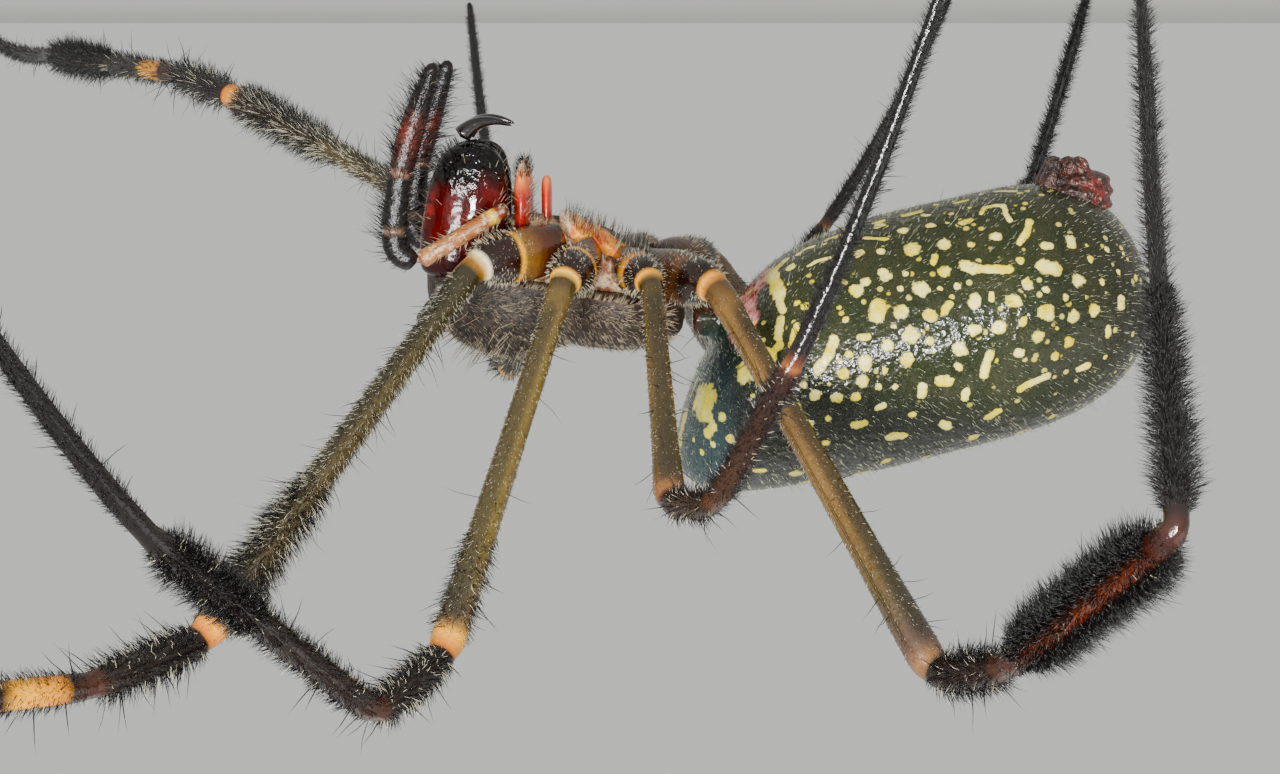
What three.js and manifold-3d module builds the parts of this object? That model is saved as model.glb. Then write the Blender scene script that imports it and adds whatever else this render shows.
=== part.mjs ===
import * as THREE from 'three';
import { mergeVertices } from 'three/addons/utils/BufferGeometryUtils.js';
import Module from 'manifold-3d';

const wasm = await Module();
wasm.setup();

// A female golden silk orb weaver, life size in mm, standing on its eight feet.
// It faces -Y with its left side at +X and its back up. Places on it are given as
// forward, left and up from the waist, which is standHeight above the floor.
const standHeight = 11.5;
const gap = 0.3;
const up = new THREE.Vector3(0, 0, 1);

const carapace = {
  rear: 0.9, front: 10.7, halfWidth: 3.2, headHeight: 3.0, floorUp: 0.4, floorSlope: -0.13,
};
const sternum = { rear: 1.1, front: 5.65, halfWidth: 1.9, rearDrop: 1.0, frontDrop: 3.0 };
const abdomen = {
  front: [0.7, 3.7], rear: [-16.6, -0.55], halfHeight: 4.85, halfWidth: 4.7, frontSlope: 1.8, rearSlope: 1.1,
};
const spinnerets = { forward: -13.2, baseRadius: 1.6, top: -2.6, height: 2.1, lean: 0.45 };
const waist = { from: 0.6, to: -2.4, up: 0.95, radius: 0.75 };
const chelicera = {
  forward: 9.35, left: 1.22, lean: -0.55, length: 4.7, halfWidth: 1.0, halfDepth: 1.58,
};
const fang = { length: 1.9, radius: 0.36, drop: 0.35 };
const endite = { forward: 6.98, halfThickness: 0.3, bottom: -5.1 };
const palp = {
  root: [7.4, 2.6, -3.5], elbow: [10.75, 3.1, -1.5], wrist: [11.15, 3.05, -5.2], tip: [10.0, 2.8, -8.7],
  femurRadius: 0.3, armRadius: [0.42, 0.5, 0.44, 0.48, 0.42, 0.26],
};
const eyes = {
  medianMound: [10.25, 0, 0.85], moundRadius: 0.72, medianRadius: 0.27, medianSpread: 0.36,
  lateralMound: [9.75, 1.55, 0.0], lateralMoundRadius: 0.45, lateralRadius: 0.25, lateralSpread: 0.24,
};
const labium = { forward: 6.12, halfThickness: 0.2, halfWidth: 0.62, top: -1.2, bottom: -4.5 };

// Each pair of legs, front to back: the place of the hip joint, where the coxa leaves the
// body, the length of each piece and the thickness against that of the first pair.
const legPairs = [
  {
    hip: [8.5, 4.2, -1.6], root: [5.7, 1.6, -1.9], femur: 16.7, patella: 4.2, tibia: 13.6, foot: 20.5,
    stoutness: 1,
  },
  {
    hip: [5.3, 4.8, -1.1], root: [4.5, 1.4, -1.5], femur: 14.5, patella: 3.8, tibia: 11.0, foot: 17.5,
    stoutness: 0.94,
  },
  {
    hip: [2.2, 4.8, -1.1], root: [3.3, 1.2, -1.2], femur: 9.5, patella: 3.0, tibia: 5.8, foot: 12.2,
    stoutness: 0.84,
  },
  {
    hip: [-0.1, 4.5, -0.9], root: [2.2, 0.7, -0.9], femur: 16.2, patella: 3.4, tibia: 9.6, foot: 19.5,
    stoutness: 1,
  },
];

// The stance: the bearing of each piece in degrees, from straight ahead towards the leg's own
// side, and its rise. The foot's rise follows from the floor.
const stance = {
  R: [
    { femur: [48, 42], patella: [52, 5], tibia: [46, -8], foot: 30 },
    { femur: [66, 51], patella: [62, 12], tibia: [50, -42], foot: 36 },
    { femur: [95, 44], patella: [118, -13], tibia: [138, -58], foot: 158 },
    { femur: [128, 46], patella: [121, -20], tibia: [118, -40], foot: 264 },
  ],
  L: [
    { femur: [39, -18.8], patella: [42, -12], tibia: [50, -3], foot: 58 },
    { femur: [74, 29], patella: [80, -9], tibia: [85, -31], foot: 80 },
    { femur: [112, 33], patella: [132, -14], tibia: [146, -48], foot: 162 },
    { femur: [130, 39], patella: [127, -20], tibia: [128, -36], foot: 265 },
  ],
};

// Half thickness of the leg pieces of the first pair, from root to tip.
const legRadii = {
  coxa: [0.62, 0.95, 0.72],
  femur: [0.5, 0.52, 0.56, 0.64, 0.66],
  patella: [0.58, 0.6, 0.52],
  tibia: [0.5, 0.48, 0.5, 0.44],
  foot: [0.4, 0.34, 0.3, 0.28, 0.26],
};

// The brushes of stiff hair: on which piece of which pair, over which stretch of it, how many
// rings of locks with how many locks each, and how long they stand off the leg.
const brushes = {
  femur0: { from: 0.6, to: 0.93, rings: 2, locks: 5, length: 1.0 },
  tibia0: { from: 0.52, to: 0.9, rings: 2, locks: 5, length: 1.25 },
  tibia1: { from: 0.52, to: 0.9, rings: 2, locks: 4, length: 1.15 },
  tibia3: { from: 0.14, to: 0.84, rings: 5, locks: 4, length: 1.4 },
  foot3: { from: 0.1, to: 0.27, rings: 2, locks: 4, length: 1.1 },
};
const lock = { width: 0.62, thickness: 0.5, lean: 0.85, bend: 0.35, sink: 0.3 };
const spine = { thickness: 0.5, length: 1.7, lean: 0.5, sink: 0.3 };
// How many spines each leg piece bears, by pair.
const spineCounts = {
  femur: [4, 3, 3, 4], patella: [1, 1, 1, 1], tibia: [5, 4, 3, 0], foot: [0, 0, 0, 0],
};
const palpBristles = 10;

const material = (colour, roughness) => new THREE.MeshStandardMaterial({
  color: colour, roughness, metalness: 0,
});
const looks = {
  carapace: material(0x3a3028, 0.5),
  sternum: material(0xd86a24, 0.35),
  mouthpart: material(0xcc4a1c, 0.35),
  chelicera: material(0x3a0c0c, 0.22),
  fang: material(0x120a0a, 0.2),
  eye: material(0x080808, 0.1),
  waist: material(0xa8584c, 0.4),
  abdomen: material(0x2c3520, 0.35),
  spinnerets: material(0x6c2a1c, 0.4),
  coxa: material(0x5a2c18, 0.35),
  femur: material(0x5c4a20, 0.35),
  darkLeg: material(0x2a1a12, 0.35),
  foot: material(0x141010, 0.4),
  palpFemur: material(0xb8764c, 0.4),
  palp: material(0x181010, 0.35),
};

const group = new THREE.Group();

const spot = (forward, left, rise) => new THREE.Vector3(left, -forward, standHeight + rise);
const clamp = (value, low, high) => Math.min(high, Math.max(low, value));
const mix = (a, b, t) => a + (b - a) * t;

// The value of an evenly spaced list at t, from 0 to 1.
function along(values, t) {
  const place = clamp(t, 0, 1) * (values.length - 1);
  const step = Math.min(Math.floor(place), values.length - 2);
  return mix(values[step], values[step + 1], place - step);
}

// A seeded draw between 0 and 1, so that the hair falls the same way each time.
let seed = 20419;
function draw() {
  seed = (seed * 16807) % 2147483647;
  return seed / 2147483647;
}

// A closed body swept through rings: place(t, angle, spread) gives a point, with t from 0 to 1
// along the body, the angle round it, and a spread of 1, or 0 in the middle of an end face.
function loft(steps, sides, place, tipSpread = 1) {
  const geometry = new THREE.CylinderGeometry(1, tipSpread, 1, sides, steps);
  const positions = geometry.attributes.position;
  for (let i = 0; i < positions.count; i += 1) {
    const x = positions.getX(i);
    const z = positions.getZ(i);
    const point = place(0.5 - positions.getY(i), Math.atan2(z, x), Math.hypot(x, z));
    positions.setXYZ(i, point.x, point.y, point.z);
  }
  return geometry;
}

function solidFrom(geometry) {
  const bare = geometry.clone();
  bare.deleteAttribute('normal');
  bare.deleteAttribute('uv');
  const merged = mergeVertices(bare, 1e-4);
  return new wasm.Manifold(new wasm.Mesh({
    numProp: 3,
    vertProperties: merged.attributes.position.array,
    triVerts: Uint32Array.from(merged.index.array),
  }));
}

function geometryFrom(solid) {
  const pieces = solid.decompose();
  const largest = pieces.reduce((best, piece) => (piece.volume() > best.volume() ? piece : best));
  const mesh = largest.getMesh();
  const geometry = new THREE.BufferGeometry();
  geometry.setAttribute('position', new THREE.BufferAttribute(mesh.vertProperties, 3));
  geometry.setIndex(new THREE.BufferAttribute(mesh.triVerts, 1));
  geometry.computeVertexNormals();
  return geometry;
}

function add(name, solid, look) {
  const mesh = new THREE.Mesh(geometryFrom(solid), look);
  mesh.name = name;
  group.add(mesh);
}

const joined = (solids) => solids.reduce((whole, solid) => whole.add(solid));

function ball(center, radius) {
  const sphere = new THREE.SphereGeometry(radius, 8, 6);
  sphere.rotateX(Math.PI / 2);
  sphere.translate(center.x, center.y, center.z);
  return solidFrom(sphere);
}

// Rings round a line of points. The side vector stays level where it can, so that a quarter
// turn from it is the back of the limb.
function rail(points, sideways) {
  return points.map((point, i) => {
    const before = points[Math.max(i - 1, 0)];
    const after = points[Math.min(i + 1, points.length - 1)];
    const tangent = after.clone().sub(before).normalize();
    const side = sideways.clone().addScaledVector(tangent, -sideways.dot(tangent)).normalize();
    return { point, tangent, side, back: tangent.clone().cross(side) };
  });
}

// A limb along a rail. Each end lies in the plane that halves the bend to the next piece.
function limb(frames, sides, radiusAt, startPlane, endPlane) {
  const last = frames.length - 1;
  return loft(last, sides, (t, angle, spread) => {
    const row = Math.round(t * last);
    const frame = frames[row];
    const reach = radiusAt(t, angle) * spread;
    const point = frame.point.clone()
      .addScaledVector(frame.side, Math.cos(angle) * reach)
      .addScaledVector(frame.back, Math.sin(angle) * reach);
    const plane = row === 0 ? startPlane : row === last && endPlane;
    if (plane) {
      const slide = plane.distanceToPoint(point) / frame.tangent.dot(plane.normal);
      point.addScaledVector(frame.tangent, -slide);
    }
    return point;
  });
}

// The two faces of a joint, half a gap to each side of the plane that halves the bend.
function jointFaces(point, incoming, outgoing) {
  const normal = incoming.clone().add(outgoing).normalize();
  const middle = new THREE.Plane().setFromNormalAndCoplanarPoint(normal, point);
  const before = middle.clone();
  const after = middle.clone();
  before.constant += gap / 2;
  after.constant -= gap / 2;
  return { before, after };
}

// The straight run of a limb piece between two joints, with rings close to both ends.
function straightRun(from, to, rings, endRing) {
  const length = from.distanceTo(to);
  const margin = endRing / length;
  const points = [from];
  for (let i = 0; i < rings; i += 1) {
    points.push(from.clone().lerp(to, mix(margin, 1 - margin, i / (rings - 1))));
  }
  points.push(to);
  return points;
}

const bearing = (degrees, rise, mirror) => {
  const turn = THREE.MathUtils.degToRad(degrees);
  const climb = THREE.MathUtils.degToRad(rise);
  return new THREE.Vector3(
    Math.sin(turn) * Math.cos(climb) * mirror,
    -Math.cos(turn) * Math.cos(climb),
    Math.sin(climb),
  );
};

const carapaceFloor = (forward) => carapace.floorUp + carapace.floorSlope * forward;

// Half the width and the height of the carapace, from its rear (0) to its front (1).
const carapaceWidth = (t) => along([0.62, 0.86, 1, 0.97, 0.84, 0.74, 0.72, 0.7, 0.62, 0.34], t)
  * carapace.halfWidth;
const carapaceHeight = (t) => along([0.42, 0.58, 0.7, 0.72, 0.76, 0.9, 1, 0.98, 0.86, 0.55], t)
  * carapace.headHeight;

const eyeMounds = (grow) => [
  ball(spot(...eyes.medianMound), eyes.moundRadius + grow),
  ...[-1, 1].map((mirror) => {
    const [forward, left, rise] = eyes.lateralMound;
    return ball(spot(forward, left * mirror, rise), eyes.lateralMoundRadius + grow);
  }),
];

function buildCarapace() {
  const shell = loft(16, 18, (t, angle, spread) => {
    const forward = mix(carapace.rear, carapace.front, t);
    const across = Math.cos(angle) * carapaceWidth(t) * spread;
    const lift = Math.sin(angle) > 0
      ? Math.sin(angle) ** 0.8 * carapaceHeight(t) * spread
      : 0;
    return spot(forward, across, carapaceFloor(forward) + lift);
  });
  return eyeMounds(gap).reduce((solid, mound) => solid.subtract(mound), solidFrom(shell));
}


const sternumWidth = (t) => along([0.12, 0.62, 0.86, 0.98, 1, 0.9, 0.6], t) * sternum.halfWidth;

function sternumSolid(grow) {
  const top = -gap + grow;
  return solidFrom(loft(12, 16, (t, angle, spread) => {
    const forward = mix(sternum.rear - grow, sternum.front + grow, t);
    const across = Math.cos(angle) * (sternumWidth(t) + grow) * spread;
    const under = -mix(sternum.rearDrop, sternum.frontDrop, t) - grow;
    const roof = carapaceFloor(forward) + top;
    const bulge = 0.25 * (1 - Math.cos(angle) ** 2);
    const rise = Math.sin(angle) > 0
      ? mix(mix(under, roof, 0.5), roof, clamp(Math.sin(angle) * 2, 0, 1) * spread)
      : mix(mix(under, roof, 0.5), under - bulge, clamp(-Math.sin(angle) * 2, 0, 1) * spread);
    return spot(forward, across, rise);
  }));
}

function abdomenSolid(grow) {
  const [frontForward, frontUp] = abdomen.front;
  const [rearForward, rearUp] = abdomen.rear;
  return solidFrom(loft(22, 24, (t, angle, spread) => {
    const bow = 1 - Math.cos(t * Math.PI);
    const place = bow / 2;
    const bluntness = place < 0.5 ? 6.5 : 4.2;
    const swell = (1 - Math.abs(2 * place - 1) ** bluntness) ** 0.46;
    const plump = mix(0.98, 0.93, place) + 0.06 * Math.sin(place * Math.PI);
    const radius = swell * plump * spread;
    const lift = Math.sin(angle) * radius;
    const shear = abdomen.frontSlope * clamp(1 - place * 2.4, 0, 1)
      - abdomen.rearSlope * clamp(place * 2.4 - 1.4, 0, 1);
    return spot(
      mix(frontForward + grow, rearForward - grow, place) + shear * lift,
      -Math.cos(angle) * radius * (abdomen.halfWidth + grow),
      mix(frontUp, rearUp, place) + lift * (abdomen.halfHeight + grow),
    );
  }));
}

function buildBody() {
  add('carapace', buildCarapace(), looks.carapace);
  add('sternum', sternumSolid(0), looks.sternum);
  const body = abdomenSolid(0);
  add('abdomen', body, looks.abdomen);
  const stalkLine = [0, 0.5, 1].map((t) => spot(mix(waist.from, waist.to, t), 0, waist.up));
  const stalk = rail(stalkLine, new THREE.Vector3(1, 0, 0));
  const pedicel = solidFrom(limb(stalk, 12, () => waist.radius)).subtract(abdomenSolid(gap));
  add('pedicel', pedicel, looks.waist);
}


// The face of the head that the chelicerae hang from slopes with the carapace's floor.
function buildMouth(side, mirror) {
  const top = carapaceFloor(chelicera.forward) - gap;
  const [lean, length] = [chelicera.lean, chelicera.length];
  const jaw = loft(9, 14, (t, angle, spread) => {
    const girth = along([0.88, 1, 1.03, 1, 0.94, 0.8, 0.56], t) * spread;
    const forward = chelicera.forward + lean * t + Math.sin(angle) * girth * chelicera.halfDepth;
    const left = chelicera.left * mirror + Math.cos(angle) * girth * chelicera.halfWidth;
    const rise = t === 0 ? carapaceFloor(forward) - gap : top - gap - t * length;
    return spot(forward, left, rise);
  });
  const jawSolid = solidFrom(jaw);
  const tip = spot(chelicera.forward + lean + 0.45, chelicera.left * mirror, top - 3 * gap - length);
  const bend = tip.clone().add(new THREE.Vector3(-0.1 * mirror, fang.length * 0.4, -fang.drop * 1.6));
  const point = tip.clone().add(new THREE.Vector3(-0.35 * mirror, fang.length, -fang.drop * 0.4));
  const arc = new THREE.QuadraticBezierCurve3(tip, bend, point).getPoints(5);
  const fangRail = rail(arc, new THREE.Vector3(1, 0, 0));
  const fangSolid = solidFrom(limb(fangRail, 8, (t) => fang.radius * (1 - 0.75 * t)));
  add(`chelicera_${side}`, jawSolid, looks.chelicera);
  add(`fang_${side}`, fangSolid, looks.fang);

  const lobe = loft(8, 12, (t, angle, spread) => {
    const half = along([0.5, 0.5, 0.58, 0.78, 0.84, 0.66, 0.38], t) * spread;
    const middle = along([0.72, 0.72, 0.82, 1.1, 1.2, 1.15, 1.05], t);
    const roof = carapaceFloor(endite.forward) - gap;
    return spot(
      endite.forward + Math.sin(angle) * endite.halfThickness * Math.min(1, half * 1.4 + 0.1 * spread),
      middle * mirror + Math.cos(angle) * half,
      t === 0 ? roof : mix(roof, endite.bottom, t),
    );
  });
  add(`endite_${side}`, solidFrom(lobe), looks.mouthpart);
}

function buildLabium() {
  const plate = loft(5, 12, (t, angle, spread) => spot(
    labium.forward + Math.sin(angle) * labium.halfThickness * spread,
    Math.cos(angle) * labium.halfWidth * along([0.9, 1, 0.95, 0.6], t) * spread,
    mix(labium.top, labium.bottom, t),
  ));
  add('labium', solidFrom(plate), looks.mouthpart);
}

function buildEyes() {
  const [median, right, left] = eyeMounds(0);
  const [forward, , rise] = eyes.medianMound;
  const reach = eyes.moundRadius * 0.82;
  const tilts = [0.15, 1.05];
  const medianEyes = tilts.flatMap((tilt) => [-1, 1].map((mirror) => ball(
    spot(
      forward + Math.cos(tilt) * reach,
      eyes.medianSpread * mirror * (1 + 0.25 * tilt),
      rise + Math.sin(tilt) * reach,
    ),
    eyes.medianRadius,
  )));
  add('eyes_median', joined([median, ...medianEyes]), looks.eye);
  const lateralEyes = (mound, mirror) => [-1, 1].map((end) => {
    const [ahead, aside, high] = eyes.lateralMound;
    return ball(
      spot(ahead + 0.22 + end * eyes.lateralSpread, (aside + 0.24 - end * 0.06) * mirror, high + 0.06),
      eyes.lateralRadius,
    );
  }).reduce((solid, eye) => solid.add(eye), mound);
  add('eyes_lateral_R', lateralEyes(right, -1), looks.eye);
  add('eyes_lateral_L', lateralEyes(left, 1), looks.eye);
}

function buildSpinnerets() {
  const { forward, baseRadius, top, height, lean } = spinnerets;
  const cone = solidFrom(loft(4, 12, (t, angle, spread) => {
    const radius = baseRadius * along([1.1, 1.05, 0.95, 0.78, 0.55], t) * spread;
    return spot(
      forward - lean * t * height - Math.sin(angle) * radius,
      -Math.cos(angle) * radius * 0.92,
      top - t * height,
    );
  }));
  const lobes = [[0.5, 0.45], [-0.3, 0.4], [-0.85, 0.28]].flatMap(([ahead, aside]) => (
    [-1, 1].map((mirror) => {
      const base = spot(forward + ahead, aside * mirror, top - height * 0.62);
      const tip = spot(forward + ahead * 0.6 - 0.2, aside * 0.6 * mirror, top - height - 0.55);
      const points = [0, 0.5, 1].map((t) => base.clone().lerp(tip, t));
      return solidFrom(limb(rail(points, new THREE.Vector3(1, 0, 0)), 6, (t) => 0.46 - 0.2 * t));
    })
  ));
  const cluster = joined([cone, ...lobes]).subtract(abdomenSolid(gap));
  add('spinnerets', cluster, looks.spinnerets);
}

function buildPalp(side, mirror) {
  const place = ([forward, left, rise]) => spot(forward, left * mirror, rise);
  const [root, elbow, wrist, tip] = [palp.root, palp.elbow, palp.wrist, palp.tip].map(place);
  const knuckle = elbow.clone().add(new THREE.Vector3(0, -0.75, -0.75));
  const incoming = elbow.clone().sub(root).normalize();
  const outgoing = knuckle.clone().sub(elbow).normalize();
  const faces = jointFaces(elbow, incoming, outgoing);
  const sideways = new THREE.Vector3(1, 0, 0);
  const upperRail = rail(straightRun(root, elbow, 4, 0.5), sideways);
  const upper = limb(upperRail, 10, () => palp.femurRadius, undefined, faces.before);
  const arc = new THREE.CatmullRomCurve3([elbow, knuckle, wrist, tip], false, 'centripetal');
  const armRail = rail(arc.getSpacedPoints(12), sideways);
  const armRadius = (t) => along(palp.armRadius, t);
  const arm = solidFrom(limb(armRail, 10, armRadius, faces.after));
  const bristles = Array.from({ length: palpBristles }, (_, i) => {
    const t = mix(0.2, 0.97, (i + 0.5 * draw()) / palpBristles);
    const size = { ...spine, width: 0.4, thickness: 0.4, length: 0.8, bend: 0.15, steps: 1 };
    return hairOn(armRail, armRadius, t, i * 2.4 + draw(), size);
  });
  add(`palp_${side}_femur`, solidFrom(upper), looks.palpFemur);
  add(`palp_${side}_tarsus`, joined([arm, ...bristles]), looks.palp);
}

// A stiff hair or lock that tapers from its root to a point and bends towards the limb's tip.
function tapered(root, outward, tangent, length, width, thickness, bend, steps) {
  const across = outward.clone().cross(tangent).normalize();
  const flat = across.clone().cross(outward).normalize();
  return solidFrom(loft(steps, 4, (t, angle, spread) => root.clone()
    .addScaledVector(outward, length * t)
    .addScaledVector(tangent, bend * length * t * t)
    .addScaledVector(across, Math.cos(angle) * spread * width / 2)
    .addScaledVector(flat, -Math.sin(angle) * spread * thickness / 2), 0));
}

// The frame of a rail at t, with the point between two of its rings.
function frameAt(frames, t) {
  const place = t * (frames.length - 1);
  const step = Math.min(Math.floor(place), frames.length - 2);
  const point = frames[step].point.clone().lerp(frames[step + 1].point, place - step);
  return { ...frames[step], point };
}

function hairOn(frames, radiusAt, t, angle, { length, width, thickness, lean, bend, sink, steps }) {
  const { point, tangent, side, back } = frameAt(frames, t);
  const normal = side.clone().multiplyScalar(Math.cos(angle)).addScaledVector(back, Math.sin(angle));
  const outward = normal.clone().addScaledVector(tangent, lean).normalize();
  const root = point.clone().addScaledVector(normal, radiusAt(t) - sink);
  return tapered(root, outward, tangent, length + sink, width, thickness, bend, steps);
}

function brushOn(frames, radiusAt, { from, to, rings, locks, length }) {
  const hairs = [];
  for (let ring = 0; ring < rings; ring += 1) {
    for (let i = 0; i < locks; i += 1) {
      const t = mix(from, to, (ring + 0.5 * (i % 2) + 0.2 * draw()) / rings);
      const angle = (i + 0.5 * (ring % 2) + 0.2 * draw()) * 2 * Math.PI / locks;
      const size = { ...lock, length: length * (0.85 + 0.3 * draw()), steps: 2 };
      hairs.push(hairOn(frames, radiusAt, t, angle, size));
    }
  }
  return hairs;
}

function spinesOn(frames, radiusAt, count) {
  return Array.from({ length: count }, (_, i) => {
    const t = (i + 0.5 + 0.3 * draw()) / (count + 0.6);
    const angle = i * 2.4 + 0.6 * draw();
    const size = { ...spine, width: spine.thickness, bend: 0.1, steps: 1 };
    return hairOn(frames, radiusAt, t, angle, { ...size, length: size.length * (0.8 + 0.4 * draw()) });
  });
}

// Planes that part each coxa from the next one along the body.
function trimmedCoxa(solid, pair, mirror) {
  const middle = (index) => {
    const { hip, root } = legPairs[index];
    return [spot(root[0], root[1] * mirror, root[2]), spot(hip[0], hip[1] * mirror, hip[2])];
  };
  let coxa = solid;
  [-1, 1].forEach((step) => {
    if (!legPairs[pair + step]) return;
    const [rootHere, hipHere] = middle(pair);
    const [rootThere, hipThere] = middle(pair + step);
    const inner = rootHere.clone().lerp(rootThere, 0.5);
    const outer = hipHere.clone().lerp(hipThere, 0.5);
    const normal = outer.clone().sub(inner).cross(up).normalize();
    if (normal.dot(hipHere.clone().sub(hipThere)) < 0) normal.negate();
    coxa = coxa.trimByPlane(normal.toArray(), normal.dot(inner) + gap / 2);
  });
  const roof = new THREE.Vector3(0, -carapace.floorSlope, -1);
  const roofHeight = -(standHeight + carapace.floorUp - gap) / roof.length();
  return coxa.trimByPlane(roof.normalize().toArray(), roofHeight)
    .subtract(sternumSolid(gap));
}

function buildLeg(side, mirror, pair) {
  const sizes = legPairs[pair];
  const pose = stance[side][pair];
  const name = `leg_${side}${pair + 1}`;
  const [root, hip] = [sizes.root, sizes.hip].map(([forward, left, rise]) => (
    spot(forward, left * mirror, rise)));
  const joints = [root, hip];
  ['femur', 'patella', 'tibia'].forEach((piece) => {
    const [turn, climb] = pose[piece];
    joints.push(joints.at(-1).clone().addScaledVector(bearing(turn, climb, mirror), sizes[piece]));
  });
  const ankle = joints.at(-1);
  const reach = Math.sqrt(sizes.foot ** 2 - ankle.z ** 2);
  const foot = ankle.clone().addScaledVector(bearing(pose.foot, 0, mirror), reach).setZ(0);
  const bowed = ankle.clone().lerp(foot, 0.5).addScaledVector(up, sizes.foot * 0.1);
  const shank = new THREE.QuadraticBezierCurve3(ankle, bowed, foot);
  const headings = joints.slice(1).map((joint, i) => joint.clone().sub(joints[i]).normalize());
  headings.push(bowed.clone().sub(ankle).normalize());
  const faces = joints.slice(1).map((joint, i) => jointFaces(joint, headings[i], headings[i + 1]));
  const sideways = up.clone().cross(bearing(pose.femur[0], 0, mirror)).normalize();
  const radiusOf = (piece) => (t) => along(legRadii[piece], t) * sizes.stoutness;

  const coxaRail = rail(straightRun(root, hip, 4, 0.6), sideways);
  const coxa = limb(coxaRail, 10, (t, angle) => {
    const tall = along([1.1, 1.1, 1.0, 0.74], t);
    const wide = along(legRadii.coxa, t);
    return 1 / Math.hypot(Math.cos(angle) / wide, Math.sin(angle) / tall);
  }, undefined, faces[0].before);
  add(`${name}_coxa`, trimmedCoxa(solidFrom(coxa), pair, mirror), looks.coxa);

  const pieces = [['femur', 7, looks.femur], ['patella', 3, looks.darkLeg], ['tibia', 5, looks.darkLeg]];
  const haired = (frames, piece, solid) => {
    const brush = brushes[`${piece}${pair}`];
    const hairs = [
      ...(brush ? brushOn(frames, radiusOf(piece), brush) : []),
      ...spinesOn(frames, radiusOf(piece), spineCounts[piece][pair]),
    ];
    return joined([solid, ...hairs]);
  };
  pieces.forEach(([piece, rings, look], i) => {
    const frames = rail(straightRun(joints[i + 1], joints[i + 2], rings, 0.9), sideways);
    const core = limb(frames, 8, radiusOf(piece), faces[i].after, faces[i + 1].before);
    const even = rail([0, 0.5, 1].map((t) => joints[i + 1].clone().lerp(joints[i + 2], t)), sideways);
    add(`${name}_${piece}`, haired(even, piece, solidFrom(core)), look);
  });
  const shankFrames = rail(shank.getSpacedPoints(10), sideways);
  const core = limb(shankFrames, 8, radiusOf('foot'), faces[3].after, new THREE.Plane(up, 0));
  add(`${name}_metatarsus`, haired(shankFrames, 'foot', solidFrom(core)), looks.foot);
}

buildBody();
buildEyes();
buildLabium();
buildSpinnerets();
[['R', -1], ['L', 1]].forEach(([side, mirror]) => {
  buildMouth(side, mirror);
  buildPalp(side, mirror);
  legPairs.forEach((_, pair) => buildLeg(side, mirror, pair));
});

// The origin lies on the floor, under the middle of the whole spider.
const box = new THREE.Box3().setFromObject(group, true);
const middle = box.getCenter(new THREE.Vector3());
group.position.set(-middle.x, -middle.y, 0);
group.updateMatrixWorld(true);

export default group;
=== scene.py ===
import math

import bpy
import numpy as np
from mathutils import Matrix, Vector
from mathutils.bvhtree import BVHTree


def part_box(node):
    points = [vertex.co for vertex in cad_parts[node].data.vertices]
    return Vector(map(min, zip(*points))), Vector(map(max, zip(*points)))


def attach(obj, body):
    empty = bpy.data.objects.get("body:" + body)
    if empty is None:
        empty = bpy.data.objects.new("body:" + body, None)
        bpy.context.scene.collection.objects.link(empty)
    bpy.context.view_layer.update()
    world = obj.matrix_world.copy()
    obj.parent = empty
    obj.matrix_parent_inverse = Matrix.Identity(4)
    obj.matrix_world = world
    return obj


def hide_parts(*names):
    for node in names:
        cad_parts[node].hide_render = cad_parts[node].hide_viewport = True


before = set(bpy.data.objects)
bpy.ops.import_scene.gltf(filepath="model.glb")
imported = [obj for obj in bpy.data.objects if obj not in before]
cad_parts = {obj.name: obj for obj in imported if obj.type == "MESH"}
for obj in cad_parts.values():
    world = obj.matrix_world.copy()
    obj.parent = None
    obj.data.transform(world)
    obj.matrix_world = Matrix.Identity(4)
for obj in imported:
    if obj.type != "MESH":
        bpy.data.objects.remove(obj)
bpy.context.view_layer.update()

mm = 0.001
tau = 2 * math.pi
draw = np.random.default_rng(20419)     # seeded, so the hair falls the same way each time

# shapes are worked out in mm from the waist, with x to the spider's left, y to its rear and z up
standHeight = 11.5
pedicelLow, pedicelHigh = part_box("pedicel")
waist = np.array(((pedicelLow.x + pedicelHigh.x) / 2, pedicelLow.y + 0.6 * mm, standHeight * mm))


def spot(forward, left, rise):
    return np.array((left, -forward, rise), float)


def mirrored(place, mirror):        # on the right side with -1, on the left with 1
    forward, left, rise = place
    return spot(forward, left * mirror, rise)


def toScene(points):
    return np.asarray(points, float) * mm + waist


def unit(vectors):
    vectors = np.asarray(vectors, float)
    return vectors / np.maximum(np.linalg.norm(vectors, axis=-1, keepdims=True), 1e-9)


def through(values, t):     # a smooth line through evenly spaced values, at t from 0 to 1
    values = np.asarray(values, float)
    last = len(values) - 1
    where = np.clip(np.asarray(t, float), 0, 1) * last
    step = np.minimum(where.astype(int), last - 1)
    part = where - step
    if values.ndim > 1:
        part = part[..., None]
    before, here = values[np.maximum(step - 1, 0)], values[step]
    there, beyond = values[step + 1], values[np.minimum(step + 2, last)]
    bend = 2 * before - 5 * here + 4 * there - beyond
    turn = 3 * (here - there) + beyond - before
    return here + 0.5 * part * (there - before + part * (bend + part * turn))


def smooth(value, low, high):
    part = np.clip((np.asarray(value, float) - low) / (high - low), 0, 1)
    return part * part * (3 - 2 * part)


cameraView = {
    "height": 1.5,      # mm above the floor, as low as it can go
    "distance": 75.0,   # mm out from the spider's midline, on its right side
    "ahead": 2.6,       # mm in front of the waist
    "aimUp": 3.65,      # mm above the waist, the middle of the picture
    "pictureWidth": 49.2,
    "roll": 180.0,
}


def linked(name, data):
    made = bpy.data.objects.new(name, data)
    bpy.context.collection.objects.link(made)
    return made


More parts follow.
